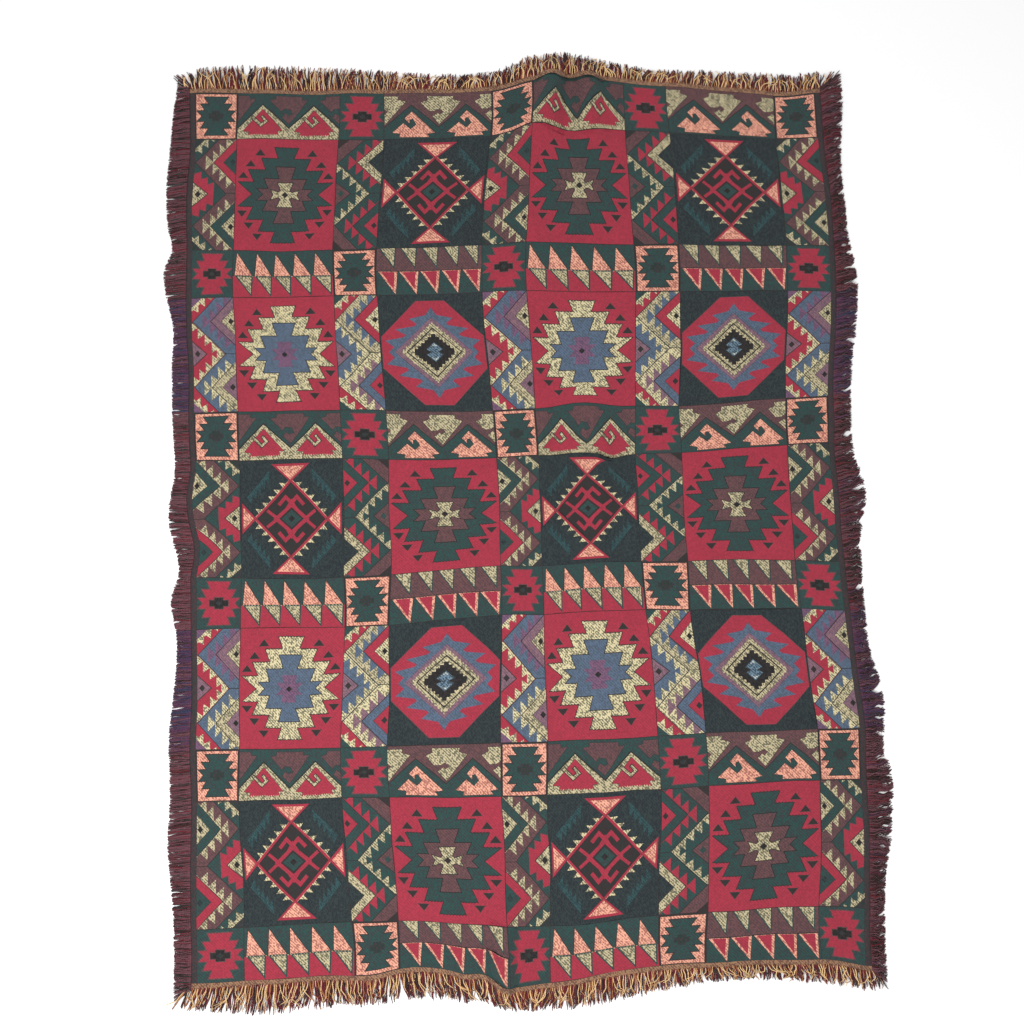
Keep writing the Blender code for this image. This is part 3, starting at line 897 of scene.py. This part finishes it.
class Sheet:
    """Collects woven boxes into one flat mesh."""

    def __init__(self):
        self.places, self.triangles, self.yarns, self.count = [], [], [], 0

    def add(self, places, triangles, yarns):
        self.places.append(places)
        self.triangles.append(triangles + self.count)
        self.yarns.append(yarns)
        self.count += len(places)

    def welded(self):
        """The whole sheet, with the points that boxes share made one."""
        places, triangles = np.concatenate(self.places), np.concatenate(self.triangles)
        yarns = np.concatenate(self.yarns)
        _, first, same = np.unique(np.round(places / WELD_REACH).astype(int), axis=0,
                                   return_index=True, return_inverse=True)
        triangles = same.ravel()[triangles]
        kept = (triangles != np.roll(triangles, 1, axis=1)).all(axis=1)
        return places[first], triangles[kept], yarns[kept]


column_stations = [stations(COLUMN_LINES[c], COLUMN_LINES[c + 1], COLUMN_CELLS[c]) for c in range(9)]
row_stations = [stations(ROW_LINES[r + 1], ROW_LINES[r], ROW_CELLS[r]) for r in range(11)]
flat = Sheet()
for row, names in enumerate(ORDER):
    for column, name in enumerate(names):
        shapes = draw_block(name, COLUMN_LINES[column], ROW_LINES[row + 1],
                            COLUMN_LINES[column + 1], ROW_LINES[row])
        flat.add(*weave(shapes, column_stations[column], row_stations[row], "umber"))
left_selvedge = -HALF_PATTERN_WIDTH - SELVEDGE
right_selvedge = HALF_WIDTH - SIDE_BAND
side_stations = [[-HALF_WIDTH, left_selvedge], [left_selvedge, -HALF_PATTERN_WIDTH],
                 [right_selvedge, HALF_WIDTH], [HALF_PATTERN_WIDTH, right_selvedge]]
for outer, inner in (side_stations[:2], side_stations[2:]):
    for rows in row_stations:
        flat.add(*weave([], outer, rows, "side"))
        flat.add(*weave([], inner, rows, "selvedge"))
for hem_rows in ([TOP, TOP + HEM / 2, TOP + HEM], [BOTTOM - HEM, BOTTOM - HEM / 2, BOTTOM]):
    for columns in column_stations + side_stations:
        flat.add(*weave([], columns, hem_rows, "hem"))
flat_places, flat_triangles, flat_yarns = flat.welded()
print("flat sheet:", len(flat_places), "points,", len(flat_triangles), "triangles")

# %% [markdown]
# The flat sheet is laid with lay(), given a second side 2 mm below its face, and closed round its
# rim. Cloth that has been handled is never quite flat or straight, so low ripples are added, and
# its lines wander by a millimetre or two. Long triangles would cut through a fold, so their edges
# are split where they stand off. The normals come from the laid surface itself, not from the thin
# triangles along the outlines, so the folds are shaded smoothly.

# %% Lay the cloth
RIPPLE_HEIGHT, RIPPLE_REST = 0.0008, 0.6
RIPPLE_LENGTHS = (0.06, 0.20)
UNEVENNESS = 0.0014
UNEVEN_LENGTHS = (0.11, 0.30)
WAVES = 14
NORMAL_STEP = 0.0004
STAND_OFF = 0.0007
SPLIT_ROUNDS = 3
UNDER_UV = 0.0003


def waves(across, along, seed, lengths):
    """Uneven waves that cross each other, mostly between -1 and 1."""
    draw = np.random.default_rng(seed)
    total = np.zeros_like(across)
    for _ in range(WAVES):
        length, heading, phase = draw.uniform(*lengths), draw.uniform(0, math.pi), draw.uniform(0, 7)
        run = across * math.cos(heading) + along * math.sin(heading)
        total += np.sin(run * 2 * math.pi / length + phase)
    return total / math.sqrt(WAVES)


def laid(across, along):
    """Where flat places lie on the real, handled cloth."""
    places = lay(across, along)
    places[:, 0] += UNEVENNESS * waves(across, along, 8, UNEVEN_LENGTHS)
    places[:, 1] += UNEVENNESS * waves(across, along, 9, UNEVEN_LENGTHS)
    ripple = waves(across, along, 7, RIPPLE_LENGTHS) + RIPPLE_REST
    places[:, 2] += RIPPLE_HEIGHT * np.maximum(ripple, 0.0)
    return places


def laid_normals(across, along):
    """Which way the laid cloth faces at each place."""
    step = NORMAL_STEP
    over = laid(across + step, along) - laid(across - step, along)
    up = laid(across, along + step) - laid(across, along - step)
    facing = np.cross(over, up)
    return facing / np.linalg.norm(facing, axis=1, keepdims=True)


def mesh_piece(name, points, faces, numbers, flat_uv, normals=None):
    """A mesh whose faces each carry a yarn number and whose corners carry a UV in metres."""
    mesh = bpy.data.meshes.new(name)
    mesh.from_pydata(points.tolist(), [], faces.tolist())
    attribute = mesh.attributes.new("yarn", "FLOAT", "FACE")
    attribute.data.foreach_set("value", ((numbers + 0.5) / len(YARNS)).astype(np.float32))
    corners = mesh.uv_layers.new(name="flat")
    corners.data.foreach_set("uv", flat_uv[faces.ravel()].astype(np.float32).ravel())
    mesh.polygons.foreach_set("use_smooth", np.ones(len(faces), bool))
    if normals is not None:
        mesh.normals_split_custom_set_from_vertices(normals.tolist())
    mesh.update()
    piece = bpy.data.objects.new(name, mesh)
    bpy.context.scene.collection.objects.link(piece)
    return piece


def sides_of(triangles):
    return np.concatenate([triangles[:, [0, 1]], triangles[:, [1, 2]], triangles[:, [2, 0]]])


def bent_to_fit(places, triangles, yarns):
    """Splits each edge whose middle would stand off the laid cloth, a few times over."""
    for _ in range(SPLIT_ROUNDS):
        lying = laid(*places.T)
        edges, which = np.unique(np.sort(sides_of(triangles), axis=1), axis=0, return_inverse=True)
        middles = places[edges].mean(axis=1)
        stand_off = np.linalg.norm(laid(*middles.T) - lying[edges].mean(axis=1), axis=1)
        split = stand_off > STAND_OFF
        if not split.any():
            break
        middle_of = np.full(len(edges), -1)
        middle_of[split] = len(places) + np.arange(split.sum())
        places = np.concatenate([places, middles[split]])
        marks = middle_of[which.ravel().reshape(3, -1).T]
        cut = (marks >= 0).sum(axis=1)
        parts, kept_yarns = [triangles[cut == 0]], [yarns[cut == 0]]
        for turn in range(3):
            (a, b, c), (ab, bc, ca) = np.roll(triangles, turn, axis=1).T, np.roll(marks, turn, axis=1).T
            one, two = (cut == 1) & (ab >= 0), (cut == 2) & (ca < 0)
            cuts = [(one, (a, ab, c)), (one, (ab, b, c))]
            cuts += [(two, corners) for corners in ((ab, b, bc), (a, ab, bc), (a, bc, c))]
            if turn == 0:
                cuts += [(cut == 3, corners) for corners in
                         ((a, ab, ca), (ab, b, bc), (ca, bc, c), (ab, bc, ca))]
            for chosen, corners in cuts:
                parts.append(np.stack([corner[chosen] for corner in corners], axis=1))
                kept_yarns.append(yarns[chosen])
        triangles, yarns = np.concatenate(parts), np.concatenate(kept_yarns)
    return places, triangles, yarns


flat_places, flat_triangles, flat_yarns = bent_to_fit(flat_places, flat_triangles, flat_yarns)
under = laid(flat_places[:, 0], flat_places[:, 1])
facing = laid_normals(flat_places[:, 0], flat_places[:, 1])
over = under + facing * CLOTH_THICKNESS
points = np.concatenate([over, under])
count = len(flat_places)
turned = flat_triangles[:, ::-1] + count
sides = sides_of(flat_triangles)
_, where, times = np.unique(np.sort(sides, axis=1), axis=0, return_index=True, return_counts=True)
rim = sides[where[times == 1]]
rim_faces = np.concatenate([np.stack([rim[:, 1], rim[:, 0], rim[:, 0] + count], -1),
                            np.stack([rim[:, 1], rim[:, 0] + count, rim[:, 1] + count], -1)])
behind = np.arange(len(YARNS))
for shown, hidden in BEHIND.items():
    behind[YARN_NUMBER[shown]] = YARN_NUMBER[hidden]
numbers = np.concatenate([flat_yarns, behind[flat_yarns], np.full(len(rim_faces), YARN_NUMBER["hem"])])
uv = np.concatenate([flat_places, flat_places + [0, UNDER_UV]])
faces = np.concatenate([flat_triangles, turned, rim_faces])
cloth = mesh_piece("cloth_woven", points, faces, numbers, uv, np.concatenate([facing, -facing]))
print("cloth:", len(cloth.data.polygons), "triangles, rim of", len(rim), "edges, steepest place faces",
      round(float(facing[:, 2].min()), 2), "up")

# %% [markdown]
# Both finishes are procedural: an image of the cloth would fix its size and need a file. The sum
# of a shader is easier to read as arithmetic, so a small class wraps a socket and turns +, -, *
# and / into Math nodes, and one method adds any other node.

# %% Shader arithmetic
class Wire:
    """A socket that can be used in sums."""

    def __init__(self, finish, socket):
        self.finish, self.socket = finish, socket

    def sum(self, operation, first, second=0.0):
        return self.finish.node("ShaderNodeMath", {"operation": operation}, {0: first, 1: second})

    def __add__(self, other):
        return self.sum("ADD", self, other)

    def __sub__(self, other):
        return self.sum("SUBTRACT", self, other)

    def __rsub__(self, other):
        return self.sum("SUBTRACT", other, self)

    def __mul__(self, other):
        return self.sum("MULTIPLY", self, other)

    def __truediv__(self, other):
        return self.sum("DIVIDE", self, other)

    __radd__ = __add__
    __rmul__ = __mul__

    def floor(self):
        return self.sum("FLOOR", self)

    def part(self):
        return self.sum("FRACT", self)

    def sine(self):
        return self.sum("SINE", self)

    def over(self, limit):
        return self.sum("GREATER_THAN", self, limit)


class Finish:
    """A material under construction."""

    def __init__(self, name):
        self.material = bpy.data.materials.new(name)
        self.material.use_nodes = True
        self.nodes = self.material.node_tree.nodes
        self.links = self.material.node_tree.links
        self.surface = self.nodes["Principled BSDF"]

    def feed(self, socket, value):
        if isinstance(value, Wire):
            self.links.new(value.socket, socket)
        else:
            socket.default_value = value

    def node(self, kind, settings, inputs, output=0):
        made = self.nodes.new(kind)
        for name, value in settings.items():
            if name == "stops":
                self.set_stops(made.color_ramp, value)
            else:
                setattr(made, name, value)
        for name, value in inputs.items():
            self.feed(made.inputs[name], value)
        return Wire(self, made.outputs[output])

    def set_stops(self, ramp, colors):
        """Colours side by side, each for its own step of the factor."""
        ramp.interpolation = "CONSTANT"
        while len(ramp.elements) < len(colors):
            ramp.elements.new(0.5)
        for number, color in enumerate(colors):
            ramp.elements[number].position = number / len(colors)
            ramp.elements[number].color = color

    def mix(self, share, first, second):
        return self.node("ShaderNodeMix", {"data_type": "RGBA"}, {0: share, 6: first, 7: second}, 2)

    def constants(self, values):
        for name, value in values.items():
            self.surface.inputs[name].default_value = value

    def bump(self, height, distance, strength):
        bumps = {"Strength": strength, "Distance": distance, "Height": height}
        self.feed(self.surface.inputs["Normal"], self.node("ShaderNodeBump", {}, bumps))

    def flat_uv(self):
        """The UV map in metres: the whole of it, its first part and its second."""
        whole_uv = self.node("ShaderNodeUVMap", {"uv_map": "flat"}, {})
        split = self.node("ShaderNodeSeparateXYZ", {}, {0: whole_uv})
        return whole_uv, split, Wire(self, split.socket.node.outputs[1])

    def yarn_colors(self):
        """The colour of the face's yarn, and that of its flecks; for fringe yarns, their fuzz and
        painted ply shade.
        """
        number = self.node("ShaderNodeAttribute", {"attribute_name": "yarn"}, {}, 2)
        ramps = [[(*map(screen_to_light, pair[side]), 1) for pair in YARNS.values()] for side in (0, 1)]
        return [self.node("ShaderNodeValToRGB", {"stops": ramp}, {0: number}) for ramp in ramps]


print("shader arithmetic ready")

# %% [markdown]
# Close to, the cloth is a fine twill: short floats of weft in slanting lines, with yarns of other
# colours peeping out between them. The UV map holds the flat cloth's metres, so the weave follows
# the cloth into its folds. Three things decide where a fleck shows: the cell, the float and how
# near it lies to a ridge of the twill. Flecks are strongest in the beige and peach areas.

# %% Woven finish
TWILL_PITCH = 0.0027
THREAD_PITCH = 0.0019
FLOAT_LENGTH = 0.0037
TWILL_SPAN = 0.0056
BY_CELL, BY_FLOAT, BY_RIDGE, FLECK_LIMIT = 0.42, 0.44, 0.34, 0.61
FLECK_STRENGTH = 0.92
DARKEST, MOTTLE_SHADE, RIDGE_SHADE, FLOAT_SHADE = 0.80, 0.16, 0.06, 0.20
FLOAT_JITTER = 0.15
MOTTLE_SCALE = 26.0
SMOOTHEST, RIDGE_ROUGHNESS = 0.82, 0.12
BUMP_HEIGHT = 0.0005


def woven_finish():
    f = Finish("woven_cotton")
    flat_uv, x, y = f.flat_uv()
    shown, fleck = f.yarn_colors()

    def chance_in(across, along):
        cell = f.node("ShaderNodeCombineXYZ", {}, {0: across, 1: along})
        return f.node("ShaderNodeTexWhiteNoise", {"noise_dimensions": "2D"}, {"Vector": cell})

    lean = (y / FLOAT_LENGTH).floor()
    chance = chance_in((x / THREAD_PITCH + lean * 0.5).floor(), lean)
    wide_chance = chance_in((x / TWILL_PITCH).floor(), (y / TWILL_PITCH).floor())
    slant = ((x + y) / TWILL_SPAN + chance * FLOAT_JITTER).part()
    ridge = (slant * (2 * math.pi)).sine() * 0.5 + 0.5
    flecks = (wide_chance * BY_CELL + chance * BY_FLOAT + ridge * BY_RIDGE).over(FLECK_LIMIT)
    mottle = f.node("ShaderNodeTexNoise", {"noise_dimensions": "2D"},
                    {"Vector": flat_uv, "Scale": MOTTLE_SCALE, "Detail": 3.0})
    color = f.mix(flecks * FLECK_STRENGTH, shown, fleck)
    # the mottle and float terms vary the cloth's tone at random; the ridge term is painted shade,
    # lighter on the twill's ridges and darker between them
    shade = DARKEST + mottle * MOTTLE_SHADE + ridge * RIDGE_SHADE + chance * FLOAT_SHADE
    toned_and_ridge_shaded = f.node("ShaderNodeVectorMath", {"operation": "SCALE"}, {0: color, "Scale": shade})
    f.feed(f.surface.inputs["Base Color"], toned_and_ridge_shaded)
    f.feed(f.surface.inputs["Roughness"], SMOOTHEST + ridge * RIDGE_ROUGHNESS)
    f.bump(ridge * 0.5 + chance * 0.5 - flecks * 0.3, BUMP_HEIGHT, 0.6)
    f.constants({"Specular IOR Level": 0.2, "Sheen Weight": 0.08, "Sheen Roughness": 0.6})
    return f.material


cloth.data.materials.append(woven_finish())
print("woven finish on", cloth.name)

# %% [markdown]
# Fringe yarns are short plied strands. Hair particles would draw them, but the export wants plain
# meshes. They are drawn as plain meshes, not hair particles: a yarn is a tube of three sides
# through a few points, which start at the cloth, run out over the floor and curl. Neighbours
# gather in tufts. At the top and bottom they are the loose ends of the warp: long, thick, cream,
# maroon and brown. At the sides they are the cut ends of the weft, finer and much denser, and take
# the colours of the row beside them.

# %% Yarn bundles
FRINGE_REACH = {
    # percent of the way along the edge, length and lean in millimetres; lengths are as in the
    # solids, and the right side leans further than there
    "top": [
        (0, 24, -7), (4, 42, -5), (20, 45, 2), (33, 33, 4), (44, 28, 4), (50, 34, 3), (55, 42, -2),
        (61, 42, 3), (67, 30, 3), (75, 25, 4), (83, 29, 3), (95, 34, 4), (100, 32, 3)],
    "bottom": [
        (0, 34, -6), (4, 38, -8), (12, 49, -4), (25, 43, 2), (34, 37, 3), (42, 32, 4), (47, 30, 6),
        (51, 34, -6), (60, 40, -3), (70, 33, 2), (75, 24, 2), (83, 23, 3), (92, 30, 3), (100, 30, 1)],
    "left": [
        (0, 16, 2), (3, 26, 3), (7, 30, 2), (16, 28, 2), (19, 20, 3), (22, 34, 3), (28, 17, 0),
        (33, 24, 0), (45, 22, 0), (50, 33, -2), (56, 15, 0), (59, 29, 0), (63, 20, 0), (70, 26, 1),
        (75, 30, 2), (84, 32, 2), (90, 26, 1), (100, 23, 0)],
    "right": [
        (0, 33, -16), (3, 33, -15), (7, 26, -13), (12, 17, -11), (18, 20, -10), (22, 31, -10),
        (28, 32, -8), (35, 28, -6), (42, 23, -5), (46, 31, -5), (50, 43, -7), (54, 26, -5),
        (66, 20, -3), (72, 33, -5), (77, 22, -3), (81, 38, -3), (86, 32, -2), (91, 21, -2),
        (100, 18, 0)],
}
LONGEST = 1.05
FAN_REACH, FAN_LEAN = 0.022, 0.022
GATHER, TUFT_SPREAD = 0.65, 0.16
TUBE_SIDES = 3


def edge_places(side, run, out):
    """Flat places at a distance out from an edge; run goes to the right or, on a side, down."""
    return {"top": (run, HALF_LENGTH + out), "bottom": (run, -HALF_LENGTH - out),
            "left": (-HALF_WIDTH - out, -run), "right": (HALF_WIDTH + out, -run)}[side]


def yarn_paths(side, half_edge, count, steps, start, spread, curl, crimp, clump, shortest, draw):
    """Where every yarn of a fringe runs: an array of yarns, points and x, y, z. spread, curl, crimp
    and clump are how far, in metres, yarns lean apart, bow, wave, and gather in one tuft."""
    percents, lengths, leans = zip(*FRINGE_REACH[side])
    root = np.linspace(-half_edge, half_edge, count) + draw.uniform(-1, 1, count) * half_edge / count
    root = np.clip(root, -half_edge, half_edge)
    percent = (root + half_edge) / (2 * half_edge) * 100
    length = smooth_between(percents, lengths, percent) / 1000 * draw.uniform(shortest, LONGEST, count)
    lean = smooth_between(percents, leans, percent) / 1000 + draw.normal(0, spread, count)
    near_end = swell(np.minimum((half_edge - np.abs(root)) / FAN_REACH, 1.0))
    lean = lean + near_end * np.sign(root) * draw.uniform(0, FAN_LEAN, count)
    tuft = np.floor(root / clump + draw.uniform(-0.3, 0.3, count)).astype(int)
    gather = (tuft + 0.5) * clump + draw.normal(0, clump * TUFT_SPREAD, count) - root
    tuft -= tuft.min()
    tufts = tuft.max() + 1
    share = np.linspace(0, 1, steps)[None, :]
    bow = (draw.normal(0, curl, tufts)[tuft] + draw.normal(0, curl * 0.6, count))[:, None]
    turn = (draw.uniform(0, 7, tufts)[tuft] + draw.uniform(0, 1.2, count))[:, None]
    wave = draw.uniform(0.5, 1.2, count)[:, None] * crimp
    away = root[:, None] + lean[:, None] * share + GATHER * gather[:, None] * share ** 1.3
    away = away + bow * share ** 2 + wave * np.sin(share * 10 + turn) * share ** 0.7
    out = start + (length[:, None] - start) * share
    out = out - np.abs(bow) * 0.4 * share ** 2
    across, along = edge_places(side, away.ravel(), out.ravel())
    return laid(across, along).reshape(count, steps, 3), share, out


def yarn_tubes(name, paths, share, radius, lift, numbers, tip=0.5):
    """One mesh of thin tubes along the paths, closed at their tips."""
    count, steps, _ = paths.shape
    thick = radius[:, None] * (1 - (1 - tip) * share ** 2)
    paths = paths.copy()
    paths[:, :, 2] += thick + lift
    ahead = np.gradient(paths, axis=1)
    ahead /= np.linalg.norm(ahead, axis=2, keepdims=True)
    beside = np.cross(ahead, [0, 0, 1.0])
    beside /= np.maximum(np.linalg.norm(beside, axis=2, keepdims=True), 1e-9)
    above = np.cross(beside, ahead)
    angles = math.pi / 2 - np.arange(TUBE_SIDES) * 2 * math.pi / TUBE_SIDES
    rings = (paths[:, :, None, :] + thick[:, :, None, None]
             * (beside[:, :, None, :] * np.cos(angles)[None, None, :, None]
                + above[:, :, None, :] * np.sin(angles)[None, None, :, None]))
    points = rings.reshape(-1, 3)
    normals = (rings - paths[:, :, None, :]).reshape(-1, 3)
    normals /= np.linalg.norm(normals, axis=1, keepdims=True)
    first = (np.arange(count) * steps * TUBE_SIDES)[:, None, None]
    step = (np.arange(steps - 1) * TUBE_SIDES)[None, :, None]
    corner = np.arange(TUBE_SIDES)[None, None, :]
    after = (corner + 1) % TUBE_SIDES
    a, b = first + step + corner, first + step + after
    c, d = a + TUBE_SIDES, b + TUBE_SIDES
    walls = np.concatenate([np.stack(corners, -1).reshape(-1, 3) for corners in ((a, b, d), (a, d, c))])
    wall_yarns = np.tile(np.repeat(numbers, (steps - 1) * TUBE_SIDES), 2)
    start = (np.arange(count) * steps * TUBE_SIDES)[:, None]
    end = start + (steps - 1) * TUBE_SIDES
    caps = np.concatenate([start + [[0, 2, 1]], end + [[0, 1, 2]]])
    long = np.linalg.norm(np.diff(paths, axis=1), axis=2).cumsum(axis=1)
    long = np.concatenate([np.zeros((count, 1)), long], axis=1)
    around = np.arange(TUBE_SIDES) / TUBE_SIDES
    uv = np.stack(np.broadcast_arrays(around, long[:, :, None]), -1).reshape(-1, 2)
    yarns = np.concatenate([wall_yarns, numbers, numbers])
    return mesh_piece(name, points, np.concatenate([walls, caps]), yarns, uv, normals)


print("yarn tools ready")

# %% [markdown]
# A plied yarn is darker where one ply dips behind the other, and that shade is painted into its
# colour: two plies make a screw of painted light and shade along the yarn, which a sine of the
# yarn's own UV gives: its length, and the way round it.

# %% Twisted finish
PLY_PITCH, PLY_DEPTH = 0.0032, 0.0003
FUZZ_SCALE = 900.0


def twisted_finish(name):
    f = Finish(name)
    _, around, long = f.flat_uv()
    shown, dark = f.yarn_colors()
    ply = ((long / PLY_PITCH + around) * (2 * math.pi)).sine() * 0.5 + 0.5
    place = f.node("ShaderNodeTexCoord", {}, {}, 3)
    fuzz = f.node("ShaderNodeTexNoise", {}, {"Vector": place, "Scale": FUZZ_SCALE, "Detail": 2.0})
    # painted shade: the ply sine darkens the yarn towards its second colour where one ply dips behind
    # the other; the fuzz varies its tone at random
    f.feed(f.surface.inputs["Base Color"], f.mix(ply * 0.35 + fuzz * 0.35, shown, dark))
    f.bump(ply, PLY_DEPTH, 0.5)
    f.constants({"Roughness": 0.9, "Specular IOR Level": 0.2, "Sheen Weight": 0.1})
    return f.material


print("twisted finish ready")

# %% [markdown]
# The warp ends start under the cloth's edge and lie in two layers: many dark yarns near the floor,
# and fewer cream ones that stray further and mostly lie over them.

# %% Warp fringe
WARP_STEPS, WARP_SHORTEST = 8, 0.76
TUCK = 0.004
WARP_LAYERS = (
    # yarns, spread, curl, crimp, clump, thinnest, thickest, least lift, most lift, shares of colours
    (860, 0.0030, 0.0040, 0.0008, 0.012, 0.0011, 0.0017, 0.0, 0.004,
     {"maroon_yarn": 0.58, "brown_yarn": 0.32, "tan_yarn": 0.10}),
    (290, 0.0060, 0.0110, 0.0026, 0.009, 0.0009, 0.0014, 0.002, 0.007,
     {"cream_yarn": 0.78, "tan_yarn": 0.22}),
)
warp_finish = twisted_finish("warp_yarn")
fringes = []


def joined(name, parts):
    """Several meshes as one piece."""
    bpy.ops.object.select_all(action="DESELECT")
    for part in parts:
        part.select_set(True)
    bpy.context.view_layer.objects.active = parts[0]
    bpy.ops.object.join()
    parts[0].name = name
    return parts[0]


def warp_fringe(side, seed):
    draw = np.random.default_rng(seed)
    parts = []
    for count, spread, curl, crimp, clump, thin, thick, low_lift, high_lift, colors in WARP_LAYERS:
        paths, share, _ = yarn_paths(side, HALF_WIDTH, count, WARP_STEPS, -TUCK, spread, curl, crimp,
                                     clump, WARP_SHORTEST, draw)
        names = draw.choice(list(colors), count, p=list(colors.values()))
        lift = draw.uniform(low_lift, high_lift, count)[:, None] * np.sin(share * math.pi) ** 0.5
        parts.append(yarn_tubes("layer", paths, share, draw.uniform(thin, thick, count), lift,
                                np.array([YARN_NUMBER[name] for name in names])))
    piece = joined("fringe_" + side + "_yarns", parts)
    piece.data.materials.append(warp_finish)
    return piece


for side, seed in (("top", 11), ("bottom", 12)):
    fringes.append((warp_fringe(side, seed), "fringe_" + side, "warp_yarn"))
print("warp fringe:", [len(piece.data.polygons) for piece, _, _ in fringes], "triangles")

# %% [markdown]
# The weft ends are cut short and stand close together. They start at the inner line of the cloth's
# side band, on top of it, and drop to the floor just outside it. Purple is the most common beside
# the two blue rows, and rose and brown are everywhere else.

# %% Weft fringe
WEFT_YARNS, WEFT_STEPS, WEFT_SPREAD = 3600, 7, 0.0020
WEFT_THIN, WEFT_THICK = 0.0007, 0.0012
DROP = 0.006
BLUE_ROWS = (3, 7)
WEFT_COLORS = {
    "left": ({"rose_yarn": 0.56, "maroon_yarn": 0.12, "green_yarn": 0.08, "brown_yarn": 0.24},
             {"purple_yarn": 0.44, "rose_yarn": 0.20, "blue_yarn": 0.18, "brown_yarn": 0.18}),
    "right": ({"rose_yarn": 0.42, "maroon_yarn": 0.12, "purple_yarn": 0.06, "brown_yarn": 0.40},
              {"purple_yarn": 0.44, "rose_yarn": 0.22, "blue_yarn": 0.12, "brown_yarn": 0.22}),
}
weft_finish = twisted_finish("weft_yarn")


def weft_fringe(side, seed, curl, crimp, clump, shortest, loft):
    draw = np.random.default_rng(seed)
    paths, share, out = yarn_paths(side, HALF_LENGTH, WEFT_YARNS, WEFT_STEPS, -SIDE_BAND, WEFT_SPREAD,
                                   curl, crimp, clump, shortest, draw)
    along = np.linspace(HALF_LENGTH, -HALF_LENGTH, WEFT_YARNS)
    red, blue = [draw.choice(list(row), WEFT_YARNS, p=list(row.values())) for row in WEFT_COLORS[side]]
    beside_blue = sum((along < ROW_LINES[row]) & (along > ROW_LINES[row + 1]) for row in BLUE_ROWS) > 0
    numbers = np.array([YARN_NUMBER[name] for name in np.where(beside_blue, blue, red)])
    lift = draw.uniform(0, loft, WEFT_YARNS)[:, None] * np.sin(share * math.pi) ** 0.5
    lift = lift + CLOTH_THICKNESS * np.clip(1.2 - out / DROP, 0, 1)
    radius = draw.uniform(WEFT_THIN, WEFT_THICK, WEFT_YARNS)
    piece = yarn_tubes("fringe_" + side + "_yarns", paths, share, radius, lift, numbers, tip=0.8)
    piece.data.materials.append(weft_finish)
    return piece


WEFT_SIDES = (
    # side, seed, curl, crimp, clump, shortest, loft
    ("left", 13, 0.0020, 0.0006, 0.0035, 0.92, 0.003),
    ("right", 14, 0.0035, 0.0030, 0.015, 0.84, 0.007),
)
for side, *habit in WEFT_SIDES:
    fringes.append((weft_fringe(side, *habit), "fringe_" + side, "weft_yarn"))
print("weft fringe:", [len(piece.data.polygons) for piece, _, _ in fringes[2:]], "triangles")

# %% [markdown]
# Last, every piece rides on a body and hides the solid it stands for. The blanket has no joints,
# so the one body is the root.

for piece, node, slot in [(cloth, "cloth", "woven_cotton")] + fringes:
    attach(piece, "root")
    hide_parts(node)
2 * HALF_WIDTH
2 * HALF_LENGTH
